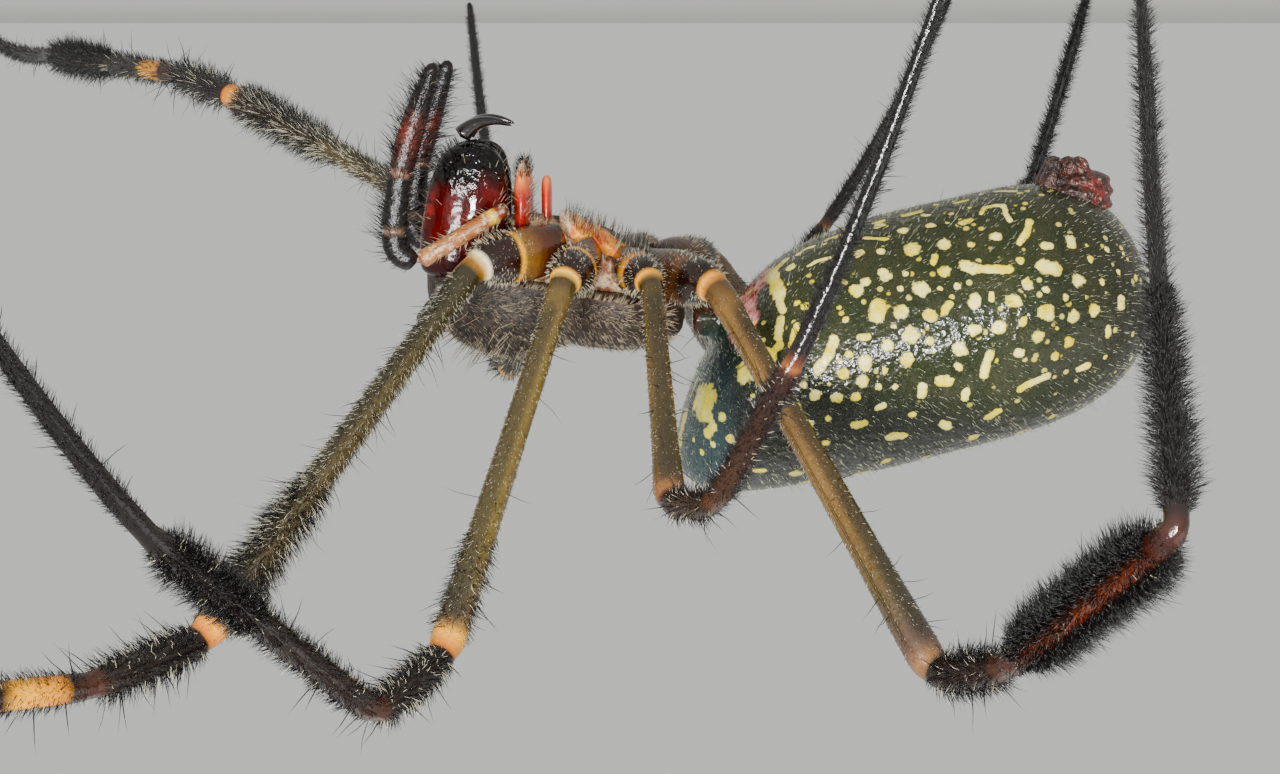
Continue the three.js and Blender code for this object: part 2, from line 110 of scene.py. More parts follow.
def makeCamera():
    data = bpy.data.cameras.new("camera")
    camera, view = linked("camera", data), cameraView
    place = Vector(toScene(spot(view["ahead"], -view["distance"], 0)))
    place.z = view["height"] * mm
    aim = Vector(toScene(spot(view["ahead"], 0, view["aimUp"])))
    away = (place - aim).normalized()
    right = Vector((0, 0, 1)).cross(away).normalized()
    turn = Matrix((right, away.cross(right), away)).transposed().to_4x4()
    spin = Matrix.Rotation(math.radians(view["roll"]), 4, "Z")
    camera.matrix_world = Matrix.Translation(place) @ turn @ spin
    data.sensor_width = 36
    data.lens = 36 * (aim - place).length / (view["pictureWidth"] * mm)
    data.clip_start = 0.001
    bpy.context.scene.camera = camera
    print("camera placed, lens", round(data.lens, 1))

deepening = 1.22    # makes every colour a little deeper, for the pale studio


def paint(code):        # a colour from its web code, as the shaders take it
    parts = [int(code[i:i + 2], 16) / 255 for i in (1, 3, 5)]
    light = [p / 12.92 if p <= 0.04045 else ((p + 0.055) / 1.055) ** 2.4 for p in parts]
    return tuple(p ** deepening for p in light) + (1.0,)


class Wire:     # one socket of a shader, with the sums that masks need
    def __init__(self, finish, socket):
        self.finish, self.socket = finish, socket

    def maths(self, operation, first, second):
        return self.finish.node("Math", {"operation": operation}, {0: first, 1: second})

    def __add__(self, other): return self.maths("ADD", self, other)
    def __radd__(self, other): return self.maths("ADD", other, self)
    def __sub__(self, other): return self.maths("SUBTRACT", self, other)
    def __rsub__(self, other): return self.maths("SUBTRACT", other, self)
    def __mul__(self, other): return self.maths("MULTIPLY", self, other)
    def __rmul__(self, other): return self.maths("MULTIPLY", other, self)
    def __truediv__(self, other): return self.maths("DIVIDE", self, other)
    def __rtruediv__(self, other): return self.maths("DIVIDE", other, self)
    def __abs__(self): return self.maths("ABSOLUTE", self, 0)


class Finish:       # one material, whose base colour is laid on in covers, and ways to add nodes
    def __init__(self, name, **constants):
        self.material = bpy.data.materials.new(name)
        self.material.use_nodes = True
        self.tree = self.material.node_tree
        self.shader = self.tree.nodes["Principled BSDF"]
        self.set(**constants)
        here = self.node("TexCoord", {}, {}, "Object")
        shifted = self.vector("SUBTRACT", here, tuple(waist))
        self.place = self.vector("MULTIPLY", shifted, (1 / mm,) * 3)      # mm from the waist
        apart = self.node("SeparateXYZ", {}, {0: self.place}).socket.node.outputs
        self.left, rearward, self.rise = (Wire(self, socket) for socket in apart)
        self.forward = 0 - rearward

    def node(self, kind, settings, values, out=0):
        made = self.tree.nodes.new("ShaderNode" + kind)
        for name, value in settings.items():
            setattr(made, name, value)
        for socket, value in values.items():
            self.feed(made.inputs[socket], value)
        return Wire(self, made.outputs[out])

    def feed(self, target, value):      # a wire, a web colour or a constant
        if isinstance(value, Wire):
            self.tree.links.new(value.socket, target)
        else:
            target.default_value = paint(value) if isinstance(value, str) else value

    def set(self, **values):
        for socket, value in values.items():
            self.feed(self.shader.inputs[socket.replace("_", " ")], value)

    def vector(self, operation, first, second):
        return self.node("VectorMath", {"operation": operation}, {0: first, 1: second})

    def mix(self, mask, low, high):
        return self.node("Mix", {"data_type": "RGBA"}, {0: mask, 6: low, 7: high}, 2)

    def cover(self, mask, colour):
        self.base = self.mix(mask, self.base, colour)

    def known(self, name):
        return self.node("Attribute", {"attribute_name": name}, {}, "Fac")

    def ease(self, value, low, high):       # 0 below low, 1 above high
        return self.node("MapRange", {"interpolation_type": "SMOOTHSTEP"}, {0: value, 1: low, 2: high})

    def ramp(self, value, stops):
        wire = self.node("ValToRGB", {}, {0: value})
        bar = wire.socket.node.color_ramp.elements
        bar.remove(bar[1])
        for i, (position, code) in enumerate(stops):
            stop = bar.new(position) if i else bar[0]
            stop.position, stop.color = position, paint(code)
        return wire

    def noise(self, scale, detail=3.0, roughness=0.55):
        values = {"Vector": self.place, "Scale": scale, "Detail": detail, "Roughness": roughness}
        return self.node("TexNoise", {}, values)

    def patches(self, scale, detail, low, high, roughness=0.55):        # soft blotches
        return self.ease(self.noise(scale, detail, roughness), low, high)

    def cells(self, scale):
        return self.node("TexVoronoi", {}, {"Vector": self.place, "Scale": scale}, "Distance")

    def polish(self, least, scale, detail, more):       # base colour and a wandering roughness
        self.set(Base_Color=self.base, Roughness=least + self.noise(scale, detail) * more)

    def relief(self, height, depth):        # depth in mm
        bump = self.node("Bump", {}, {"Strength": 1.0, "Distance": depth * mm, "Height": height})
        self.set(Normal=bump)
        return self.material


legPaint = {        # the colour along a leg by stage, for each pair
    1: ((0, "#3a1c0e"), (0.3, "#5e3218"), (0.48, "#84602c"), (0.56, "#8a6a30"), (0.575, "#ecb42c"),
        (0.615, "#dca020"), (0.63, "#34160c"), (0.95, "#2a130c"), (0.965, "#f2ead0"),
        (1.004, "#e6cc80"), (1.012, "#c88c1c"), (1.02, "#38351e"), (1.35, "#544826"), (1.78, "#4e4224"),
        (1.9, "#4a3a2c"), (1.95, "#7a6048"), (1.965, "#f0a51c"), (2.0, "#d8860f"), (2.03, "#300f08"),
        (2.12, "#1d1311"), (2.9, "#2a1a13"), (3.02, "#4c2812"), (3.07, "#2a1c14"), (3.1, "#e39a12"),
        (3.2, "#f0b020"), (3.235, "#2c1a10"), (3.9, "#1b1310"), (4.3, "#120f0f"), (5, "#0c0b0c")),
    2: ((0, "#3a1c0e"), (0.3, "#5c2c14"), (0.56, "#70401c"), (0.595, "#f0b42c"), (0.635, "#dc9c20"),
        (0.65, "#34160c"), (0.95, "#2a130c"), (0.965, "#f0b02c"), (1.006, "#f2c85a"),
        (1.014, "#4a3c22"), (1.06, "#6c5a30"), (1.3, "#786636"), (1.7, "#70602f"), (1.88, "#564a34"),
        (1.93, "#6c563c"), (1.95, "#e4a82c"), (2.0, "#c87c12"), (2.03, "#3a0f08"), (2.1, "#1f1716"),
        (2.9, "#2a1c18"), (3.02, "#4c2812"), (3.1, "#2a1b13"), (3.9, "#1b1310"), (4.3, "#120f0f"),
        (5, "#0c0b0c")),
    3: ((0, "#32180c"), (0.5, "#44220f"), (0.66, "#dca028"), (0.7, "#b87a1a"), (0.715, "#2c140b"),
        (0.95, "#24110b"), (0.965, "#e8a828"), (1.008, "#e0a838"), (1.018, "#40341e"), (1.1, "#5a4a28"),
        (1.5, "#6e5a30"), (1.86, "#5a4826"), (1.97, "#8a6038"), (2.0, "#4a1a0c"), (2.06, "#402a16"),
        (2.9, "#342212"), (3.0, "#4c2e16"), (3.1, "#402818"), (3.8, "#2e1a12"), (3.94, "#40201a"),
        (3.98, "#96602c"), (4.015, "#5c3020"), (4.04, "#221512"), (4.2, "#141111"), (5, "#0b0b0d")),
    4: ((0, "#3a1c0c"), (0.4, "#5a3418"), (0.66, "#6a4420"), (0.74, "#24110c"), (0.95, "#28130c"),
        (0.965, "#e8a42c"), (1.004, "#d8942c"), (1.012, "#5a4424"), (1.08, "#7a5c2c"), (1.5, "#7c6030"),
        (1.82, "#564828"), (1.93, "#58443a"), (1.98, "#94704a"), (2.02, "#2a1610"), (2.9, "#30201a"),
        (3.0, "#442a1a"), (3.08, "#42220f"), (3.45, "#6c3012"), (3.8, "#5c2a12"), (3.93, "#34180f"),
        (3.98, "#4c2a20"), (4.02, "#241410"), (4.2, "#151210"), (5, "#0b0b0d")),
}


def legFinish(pair):
    finish = Finish(f"leg_shell_{pair}", Specular_IOR_Level=0.7)
    stage, wander = finish.known("stage"), finish.noise(1.6, 4) - 0.5
    stops = [(place / 5, code) for place, code in legPaint[pair]]
    finish.base = finish.ramp((stage + wander * 0.012) / 5, stops)
    turn = finish.known("angle") * tau
    # painted shade: back is highest on the leg's top and underside, where the femur is darkened below to
    # give the dark edges that a lit, amber femur shows
    back = abs(turn.maths("SINE", turn, 0))
    femur = finish.ease(stage, 1.05, 1.12) * (1 - finish.ease(stage, 1.9, 1.95))
    finish.cover(finish.ease(back, 0.5, 0.95) * femur * 0.7, "#1e2015")
    finish.cover(finish.patches(5.5, 5, 0.5, 0.72, 0.7) * 0.4, "#1c1410")
    # painted highlight: tiny pale flecks on the femur stand in for light sparkling on its fine hairs
    finish.cover(finish.patches(38, 3, 0.6, 0.75, 0.6) * femur * 0.3, "#c8b88a")
    finish.polish(0.08, 9, 4, 0.14)
    return finish.relief(finish.cells(11) * 0.12 + finish.noise(4, 2) * 1.6, 0.024)


def carapaceFinish():
    finish = Finish("carapace_shell", Specular_IOR_Level=0.4)
    finish.base = finish.mix(finish.ease(finish.forward, 5.2, 6.6), "#2a1a12", "#1c100c")
    finish.cover(finish.patches(4.2, 5, 0.42, 0.62, 0.7) * 0.35, "#6c5c48")
    finish.cover(1 - finish.ease(finish.rise + finish.forward * 0.13, 0.25, 0.55), "#4c2212")     # rim
    finish.cover(finish.patches(2.2, 3, 0.5, 0.7) * 0.5, "#3a1a10")
    finish.polish(0.34, 12, 4, 0.3)
    return finish.relief(finish.cells(7) * 0.5 + finish.noise(22, 4) * 0.7, 0.045)


def sternumFinish():
    finish = Finish("sternum_plate", Specular_IOR_Level=0.6)
    wander = finish.noise(1.5, 4, 0.6) - 0.5
    forward, aside = finish.forward + wander * 0.9, abs(finish.left) + wander * 0.7
    finish.base = finish.mix(finish.patches(1.9, 4, 0.4, 0.62), "#e2700c", "#f4b31c")
    finish.cover(finish.patches(2.7, 3, 0.55, 0.72) * 0.7, "#c22c0c")
    middle = 1 - finish.ease(aside, 0.4, 0.9)
    bump = finish.ease(forward, 3.9, 4.4) * middle * (1 - finish.ease(forward, 4.8, 5.2))
    finish.cover(bump * 0.7, "#e8a184")
    edge = 0.35 + finish.ease(forward, 1.2, 2.6) * 0.75 - finish.ease(forward, 3.4, 4.4) * 1.1
    heart = (1 - finish.ease(aside - edge, -0.12, 0.14)) * (1 - finish.ease(forward, 4.1, 4.5))
    finish.cover(heart, "#120a09")
    finish.cover(finish.ease(forward, 5.0, 5.4), "#f0d9b4")
    finish.polish(0.2, 8, 4, 0.25)
    return finish.relief(finish.cells(6) * 0.6 + finish.noise(16, 4) * 0.8, 0.05)


def membraneFinish():
    finish = Finish("soft_flank")
    finish.base = finish.mix(finish.patches(2.4, 5, 0.38, 0.62, 0.65), "#a35a3a", "#ecd6ae")
    finish.cover(finish.patches(5, 4, 0.52, 0.7) * 0.7, "#3c1a10")
    finish.polish(0.4, 9, 3, 0.3)
    return finish.relief(finish.noise(7, 5, 0.7), 0.12)


def cheliceraFinish():
    finish = Finish("chelicera_shell", Specular_IOR_Level=0.36)
    forward, low = finish.forward, 0 - finish.rise
    wander = finish.noise(0.8, 5, 0.65) - 0.5
    finish.base = finish.mix(finish.patches(0.9, 4, 0.35, 0.7), "#480502", "#6c0a04")
    finish.cover(finish.ease(forward + wander, 9.6, 10.9) * 0.7, "#1c0605")
    patch = finish.ease(forward + low * 0.35 + wander * 1.8, 11.2, 12.2)
    patch = patch * (1 - finish.ease(low + wander, 3.6, 4.6))
    finish.cover(patch * finish.patches(2.6, 5, 0.4, 0.6, 0.7), "#c8280f")
    finish.cover((1 - finish.ease(low, 1.0, 2.0)) * 0.75, "#1a0806")
    finish.cover(finish.ease(low + wander * 1.7 + forward * 0.12, 4.8, 5.7), "#0d0909")     # black end
    finish.polish(0.05, 6, 4, 0.09)
    warts = 1 - finish.ease(finish.cells(2.6), 0.1, 0.32)
    lumps = finish.noise(2.6, 2, 0.5) * 2.2 + warts * 0.8
    return finish.relief(lumps * finish.ease(low + wander, 3.6, 4.8) + finish.noise(2, 2) * 0.3, 0.07)


def fangFinish():
    finish = Finish("fang_shell", Coat_Weight=1.0, Coat_Roughness=0.05)
    finish.base = finish.mix(finish.patches(2, 3, 0.4, 0.7), "#080506", "#240a08")
    finish.polish(0.1, 7, 3, 0.12)
    return finish.relief(finish.noise(9, 3), 0.02)


def enditeFinish():
    finish = Finish("endite_shell", Coat_Weight=0.5, Coat_Roughness=0.12, Specular_IOR_Level=0.4)
    low = 0 - finish.rise + (finish.noise(1.6, 3) - 0.5) * 0.5
    finish.base = finish.mix(finish.ease(low, 2.2, 3.6), "#3c120a", "#c6330c")
    finish.cover(finish.ease(low, 3.7, 4.5), "#ea8a48")
    finish.cover(finish.ease(low, 4.55, 4.85), "#f3c79a")
    finish.cover(finish.ease(abs(finish.left), 1.75, 1.98) * 0.8, "#9c1c08")
    finish.polish(0.2, 7, 3, 0.2)
    return finish.relief(finish.noise(10, 4), 0.03)


def eyeFinish():
    finish = Finish("eye_bead", Coat_Weight=1.0, Coat_Roughness=0.02, Specular_IOR_Level=0.8)
    finish.base = finish.mix(finish.patches(3, 2, 0.4, 0.7), "#050404", "#1a0d06")
    finish.polish(0.05, 9, 2, 0.05)
    return finish.material


palpPaint = {       # the colour along each piece of a palp, from its root to its end
    "rod": ((0, "#4a1c10"), (0.12, "#7a3a1e"), (0.18, "#e8c230"), (0.24, "#9c6430"), (0.5, "#a46c3c"),
            (0.9, "#ac784c"), (1, "#8a4c2c")),
    "arm": ((0, "#1a100e"), (0.17, "#0c0909"), (0.2, "#8a7060"), (0.23, "#120c0b"), (0.44, "#120c0b"),
            (0.47, "#8c6a58"), (0.5, "#2a120e"), (0.58, "#541a0e"), (0.68, "#6a2410"), (0.78, "#1c0f0d"),
            (1, "#0a0808")),
}


def palpFinish(part):
    finish = Finish(f"palp_{part}", Specular_IOR_Level=0.6)
    finish.base = finish.ramp(finish.known("t"), palpPaint[part])
    if part == "rod":
        # painted highlight: pale patches over the rod's tan stand in for the white highlights on the palp
        # femur
        finish.cover(finish.patches(5, 4, 0.5, 0.68) * 0.55, "#f3e0b8")
        finish.polish(0.2, 8, 3, 0.2)
    else:
        finish.polish(0.14, 8, 3, 0.25)
    return finish.relief(finish.noise(9, 4) + finish.cells(5) * 0.5, 0.03)


def spinneretFinish():
    finish = Finish("spinneret_skin", Specular_IOR_Level=0.7)
    finish.base = finish.mix(finish.patches(2.4, 4, 0.4, 0.65), "#2a130e", "#5a3026")
    rear = finish.ease(0 - finish.forward, 13.2, 14.2)
    finish.cover(rear * finish.patches(3.4, 3, 0.42, 0.66) * 0.7, "#8a2816")
    # painted highlight: pale pinkish patches stand in for the glints on the spinnerets
    finish.cover(finish.patches(6, 4, 0.58, 0.75) * 0.7, "#d8b8a8")
    finish.polish(0.18, 7, 3, 0.25)
    return finish.relief(finish.noise(6, 4) + finish.cells(4) * 0.6, 0.14)


def abdomenFinish():
    finish = Finish("abdomen_skin", Specular_IOR_Level=0.42)
    forward, rise = finish.forward, finish.rise
    wander = finish.noise(1.1, 5, 0.65) - 0.5
    finish.base = finish.mix(finish.patches(0.8, 4, 0.35, 0.65), "#2b3416", "#3b3d22")
    finish.cover(finish.ease(0 - forward + wander * 2, 11.5, 15.5) * 0.7, "#231b12")      # rear end
    # painted shade: back darkens the top of the abdomen towards black, mostly as the shade on the side away
    # from the light and partly as its own darker olive
    back = finish.ease(rise + forward * 0.2 + wander * 1.5, 0.6, 3.0)
    finish.cover(back * 0.9, "#10130b")
    front = finish.ease(forward + wander, -1.4, -0.2) * finish.ease(rise, 0.8, 1.8)
    finish.cover(front * 0.8, "#31454a")
    # partly painted sheen: fine grey flecks give the abdomen's greyish sheen, together with its pale hair
    # speckles
    finish.cover(finish.patches(26, 4, 0.52, 0.7, 0.7) * 0.35, "#8e9382")
    finish.cover(finish.patches(3.1, 4, 0.55, 0.75) * 0.3, "#151a0c")
    stalk = finish.ease(forward, 0.1, 0.6) * (1 - finish.ease(rise, 1.9, 2.3))
    finish.cover(stalk * (1 - finish.ease(abs(finish.left), 0.9, 1.3)), "#43201a")

    ragged = (finish.noise(3.4, 4, 0.6) - 0.5) * 1.5        # breaks up the edge of every marking
    flesh = finish.mix(finish.patches(2.6, 4, 0.38, 0.62), "#b0303c", "#eaa9a4")
    finish.cover(1 - finish.ease(finish.known("pink") + ragged * 0.5, 0.75, 1.1), flesh)
    brown = finish.mix(finish.patches(4, 4, 0.4, 0.6), "#351608", "#6a3a16")
    finish.cover(1 - finish.ease(finish.known("plate") + ragged * 0.2, 0.85, 1.05), brown)
    near = finish.known("mark")
    marks = near + ragged * 1.05
    dots = 1 - finish.ease(finish.cells(1.75) + ragged * 0.06, 0.15, 0.23)      # between the marks
    dots = dots * finish.ease(near, 1.35, 1.7)
    dots = dots * finish.ease(0 - rise - forward * 0.2 + wander * 3, -2.6, -0.6)
    mark = 1 - finish.ease(marks, 0.86, 1.12)
    mark = mark.maths("MAXIMUM", mark, dots * 0.8)
    yellow = finish.mix(finish.patches(0.9, 2, 0.4, 0.6), "#f0dc08", "#faf094")
    yellow = finish.mix(finish.ease(marks, 0.45, 0.95) * 0.35, yellow, "#b0a020")
    # painted shade: the same back mask dims the marks on top of the abdomen, partly for the shade there and
    # partly for their own duller yellow
    finish.cover(mark, finish.mix(back * 0.5, yellow, "#8a8a3c"))
    finish.cover(1 - finish.ease(finish.known("arch") + ragged * 0.15, 0.85, 1.1), "#ecc63a")

    finish.set(Base_Color=finish.base, Roughness=0.12 + finish.noise(7, 4) * 0.12 + mark * 0.05)
    folds = finish.noise(2.6, 2, 0.5) * 2.6 + finish.cells(4.5) * 0.3
    return finish.relief(folds + (1 - finish.ease(marks, 0.7, 1.2)) * 0.5, 0.034)


def hairFinish(name, root, tip, pale):
    finish = Finish(name, Specular_IOR_Level=0.6)
    tint = finish.known("tint")
    finish.base = finish.mix(finish.ease(finish.known("t"), 0.1, 0.9), root, tip)
    finish.cover(finish.ease(tint, 0.62, 0.95), pale)
    finish.set(Base_Color=finish.base, Roughness=0.35 + tint * 0.2)
    return finish.material


def floorFinish():
    finish = Finish("studio_floor")
    finish.base = finish.mix(finish.noise(0.02, 2), "#d9d8d3", "#dddcd8")
    finish.polish(0.7, 0.05, 2, 0.1)
    return finish.material


bothSides = (("R", -1), ("L", 1))
xAxis = np.array((1.0, 0, 0))


# a shape is its points, its faces and what is known at each point, until it becomes a mesh
def closedTube(grid, **layers):
    rings, sides = grid.shape[:2]
    points = np.concatenate([grid.reshape(-1, 3), grid[:1].mean(1), grid[-1:].mean(1)])
    turn = np.arange(sides)
    after = (turn + 1) % sides
    ring = np.arange(rings - 1)[:, None] * sides
    quads = np.stack([ring + turn, ring + after, ring + sides + after, ring + sides + turn], -1)
    start, end = rings * sides, rings * sides + 1
    base = (rings - 1) * sides
    fans = np.concatenate([
        np.stack([after, turn, np.full(sides, start)], -1),
        np.stack([base + turn, base + after, np.full(sides, end)], -1),
    ])
    known = {}
    for name, values in layers.items():
        values = np.broadcast_to(np.asarray(values, float), (rings, sides))
        known[name] = np.concatenate([values.ravel(), values[0, :1], values[-1, :1]])
    return {"points": points, "faces": [quads.reshape(-1, 4), fans], "layers": known}


def joined(shapes):
    points, faces, first = [], {3: [], 4: []}, 0
    for shape in shapes:
        for group in shape["faces"]:
            faces[group.shape[1]].append(group + first)
        points.append(shape["points"])
        first += len(shape["points"])
    names = shapes[0]["layers"]
    layers = {name: np.concatenate([shape["layers"][name] for shape in shapes]) for name in names}
    groups = [np.concatenate(group) for group in faces.values() if group]
    return {"points": np.concatenate(points), "faces": groups, "layers": layers}


def volumeOf(points, faces):
    total = 0
    for group in faces:
        for k in range(1, group.shape[1] - 1):
            a, b, c = points[group[:, 0]], points[group[:, k]], points[group[:, k + 1]]
            total += np.einsum("ij,ij->i", a, np.cross(b, c)).sum()
    return total


def buildPiece(name, shape, nodes, finish, uv=None):
    points, faces = toScene(shape["points"]), shape["faces"]
    if uv is None and volumeOf(shape["points"], faces) < 0:
        faces = [group[:, ::-1] for group in faces]
    mesh = bpy.data.meshes.new(name)
    counts = np.concatenate([np.full(len(group), group.shape[1]) for group in faces])
    corners = np.concatenate([group.ravel() for group in faces])
    mesh.vertices.add(len(points))
    mesh.vertices.foreach_set("co", points.astype(np.float32).ravel())
    mesh.loops.add(len(corners))
    mesh.loops.foreach_set("vertex_index", corners.astype(np.int32))
    mesh.polygons.add(len(counts))
    mesh.polygons.foreach_set("loop_start", np.concatenate([[0], np.cumsum(counts)[:-1]]).astype(np.int32))
    mesh.update(calc_edges=True)
    mesh.shade_smooth()
    for layer, values in shape["layers"].items():
        mesh.attributes.new(layer, "FLOAT", "POINT").data.foreach_set("value", values.astype(np.float32))
    if uv is not None:
        mesh.uv_layers.new(name="OFBake").data.foreach_set("uv", uv[corners].astype(np.float32).ravel())
    mesh.materials.append(finish)
    piece = linked(name, mesh)
    if nodes:
        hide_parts(*nodes)
    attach(piece, "root")


def roundShape(place, rings, sides):        # place(t, angle) takes whole arrays of both
    t, angle = np.linspace(0, 1, rings)[:, None], np.linspace(0, tau, sides, endpoint=False)
    return closedTube(place(*np.broadcast_arrays(t, angle)))


def places(forward, left, rise):
    return np.stack(np.broadcast_arrays(left, -forward, rise), -1).astype(float)


def bodyEnds(t, start, end):     # closes a shape roundly over these parts of its length
    power = 2.2
    near = np.clip(1 - t / start, 0, 1)
    far = np.clip(1 - (1 - t) / end, 0, 1)
    return (1 - near ** power) ** (1 / power) * (1 - far ** power) ** (1 / power)


def curve(start, bend, end, u):
    return start * (1 - u) ** 2 + bend * 2 * u * (1 - u) + end * u * u


def travelOf(line):
    return np.concatenate([[0], np.cumsum(np.linalg.norm(np.diff(line, axis=0), axis=1))])


def railFrom(line, sideways=xAxis):     # a line with the two directions across it, for tubes and hair
    line = np.asarray(line, float)
    tangent = unit(np.gradient(line, axis=0))
    side = unit(sideways - (tangent @ sideways)[:, None] * tangent)
    return {"line": line, "tangent": tangent, "side": side, "back": np.cross(tangent, side),
            "travel": travelOf(line)}


def tubeAlong(rail, wide, tall, sides, **layers):
    angle = np.linspace(0, tau, sides, endpoint=False)
    across = np.cos(angle)[:, None] * rail["side"][:, None] * np.reshape(wide, (-1, 1, 1))
    upward = np.sin(angle)[:, None] * rail["back"][:, None] * np.reshape(tall, (-1, 1, 1))
    known = {name: np.reshape(values, (-1, 1)) for name, values in layers.items()}
    return closedTube(rail["line"][:, None] + across + upward, angle=angle / tau, **known)


# a bent line with short rounded corners; its stage counts the corners passed
def roundedLine(corners):
    bend, step = 0.8, 0.28      # mm
    points, stages = [], []
    for i in range(len(corners) - 1):
        start, end = corners[i], corners[i + 1]
        length = np.linalg.norm(end - start)
        heading = (end - start) / length
        head = 0 if i == 0 else min(bend, 0.4 * length)
        tail = length if i == len(corners) - 2 else length - min(bend, 0.4 * length)
        for reach in np.linspace(head, tail, max(4, int((tail - head) / step)), endpoint=False):
            points.append(start + heading * reach)
            stages.append(i + reach / length)
        if i < len(corners) - 2:
            beyond = corners[i + 2] - end
            onward = np.linalg.norm(beyond)
            near, far = length - tail, min(bend, 0.4 * onward)
            for u in np.linspace(0, 1, 12, endpoint=False):
                points.append(curve(end - heading * near, end, end + beyond / onward * far, u))
                stages.append(i + 1 + (near / length if u < 0.5 else far / onward) * (2 * u - 1))
    points.append(corners[-1])
    stages.append(len(corners) - 1)
    return np.array(points), np.array(stages)


# for each pair of legs: where it leaves the body and where it has its first joint, the lengths of
# femur, patella and tibia and of the foot in mm, and its thickness against that of the first pair
legPairs = {
    1: {"root": (5.7, 1.6, -1.9), "hip": (8.5, 4.2, -1.6), "lengths": (16.7, 4.2, 13.6), "foot": 20.5,
        "stout": 1.0},
    2: {"root": (4.5, 1.4, -1.5), "hip": (5.3, 4.8, -1.1), "lengths": (14.5, 3.8, 11.0), "foot": 17.5,
        "stout": 0.94},
    3: {"root": (3.3, 1.2, -1.2), "hip": (2.2, 4.8, -1.1), "lengths": (9.5, 3.0, 5.8), "foot": 12.2,
        "stout": 0.84},
    4: {"root": (2.2, 0.7, -0.9), "hip": (-0.1, 4.5, -0.9), "lengths": (16.2, 3.4, 9.6), "foot": 19.5,
        "stout": 1.0},
}
# the bearing of femur, patella and tibia from straight ahead towards the leg's own side, their
# rise, and the bearing of the foot, in degrees
stance = {
    "R1": ((48, 42), (52, 5), (46, -8), 30), "L1": ((39, -18.8), (42, -12), (50, -3), 58),
    "R2": ((66, 51), (62, 12), (50, -42), 36), "L2": ((74, 29), (80, -9), (85, -31), 80),
    "R3": ((95, 44), (118, -13), (138, -58), 158), "L3": ((112, 33), (132, -14), (146, -48), 162),
    "R4": ((128, 46), (121, -20), (118, -40), 264), "L4": ((130, 39), (127, -20), (128, -36), 265),
}
# half thickness along a leg by stage: coxa 0 to 1, femur to 2, patella to 3, tibia to 4, foot to 5
legGirth = {
    "stage": (0, 0.4, 0.8, 0.93, 1.0, 1.03, 1.06, 1.1, 1.4, 1.7, 1.88, 1.94, 1.975, 2.0,
              2.05, 2.3, 2.6, 2.86, 2.94, 3.0, 3.04, 3.1, 3.4, 3.75, 3.92, 3.96, 4.0,
              4.03, 4.1, 4.4, 4.68, 4.7, 4.72, 4.75, 4.94, 4.985, 5.0),
    "wide": (0.6, 0.92, 0.86, 0.7, 0.52, 0.52, 0.56, 0.48, 0.5, 0.55, 0.62, 0.66, 0.62, 0.5,
             0.56, 0.58, 0.6, 0.54, 0.52, 0.42, 0.47, 0.49, 0.47, 0.5, 0.46, 0.44, 0.35,
             0.39, 0.36, 0.29, 0.26, 0.25, 0.24, 0.27, 0.2, 0.16, 0.08),
    "tall": (0.9, 1.05, 0.86, 0.7, 0.52, 0.52, 0.56, 0.48, 0.5, 0.54, 0.62, 0.65, 0.6, 0.48,
             0.55, 0.57, 0.58, 0.52, 0.5, 0.41, 0.46, 0.48, 0.46, 0.49, 0.45, 0.43, 0.34,
             0.38, 0.35, 0.28, 0.25, 0.24, 0.23, 0.26, 0.19, 0.15, 0.08),
}


def bearing(turn, climb, mirror):
    turn, climb = math.radians(turn), math.radians(climb)
    level = math.cos(climb)
    return np.array((math.sin(turn) * level * mirror, -math.cos(turn) * level, math.sin(climb)))


def legRail(name):
    mirror, pair = (-1 if name[0] == "R" else 1), legPairs[int(name[1])]
    *pieces, footBearing = stance[name]
    corners = [mirrored(pair[corner], mirror) for corner in ("root", "hip")]
    for (turn, climb), length in zip(pieces, pair["lengths"]):
        corners.append(corners[-1] + bearing(turn, climb, mirror) * length)
    ankle = corners[-1]
    height = ankle[2] + standHeight
    reach = math.sqrt(pair["foot"] ** 2 - height ** 2)
    foot = ankle + bearing(footBearing, 0, mirror) * reach
    foot[2] = -standHeight
    bowed = (ankle + foot) / 2 + np.array((0, 0, pair["foot"] * 0.1))
    line, stage = roundedLine(corners + [ankle * 0.75 + bowed * 0.25])
    keep = stage < 4.02
    u = np.linspace(0.09, 1, 84)[:, None]
    line = np.concatenate([line[keep], curve(ankle, bowed, foot, u)])
    stage = np.concatenate([stage[keep], 4 + u[:, 0]])
    sideways = unit(np.cross((0, 0, 1), bearing(pieces[0][0], 0, mirror)))
    rail = railFrom(line, sideways)
    rail["stage"] = stage
    slim, soften = 0.985, (0.1, 0.2, 0.4, 0.2, 0.1)
    for way in ("wide", "tall"):
        girth = np.interp(stage, legGirth["stage"], legGirth[way]) * pair["stout"] * slim
        rail[way] = np.maximum(np.convolve(np.pad(girth, 2, "edge"), soften, "valid"), 0.05)
    lift = np.maximum(0, 0.1 - (line[:, 2] + standHeight - rail["tall"]))     # the foot rests on the floor
    rail["line"] = line + np.outer(np.where(stage > 4.5, lift, 0), (0, 0, 1))
    return rail


rails = {name: legRail(name) for name in stance}


def buildLegs(finishes):
    for name, rail in rails.items():
        shape = tubeAlong(rail, rail["wide"], rail["tall"], 22, stage=rail["stage"])
        nodes = [f"leg_{name}_{piece}" for piece in ("coxa", "femur", "patella", "tibia", "metatarsus")]
        buildPiece(f"leg_{name}", shape, nodes, finishes[int(name[1])])
    print("eight legs built")


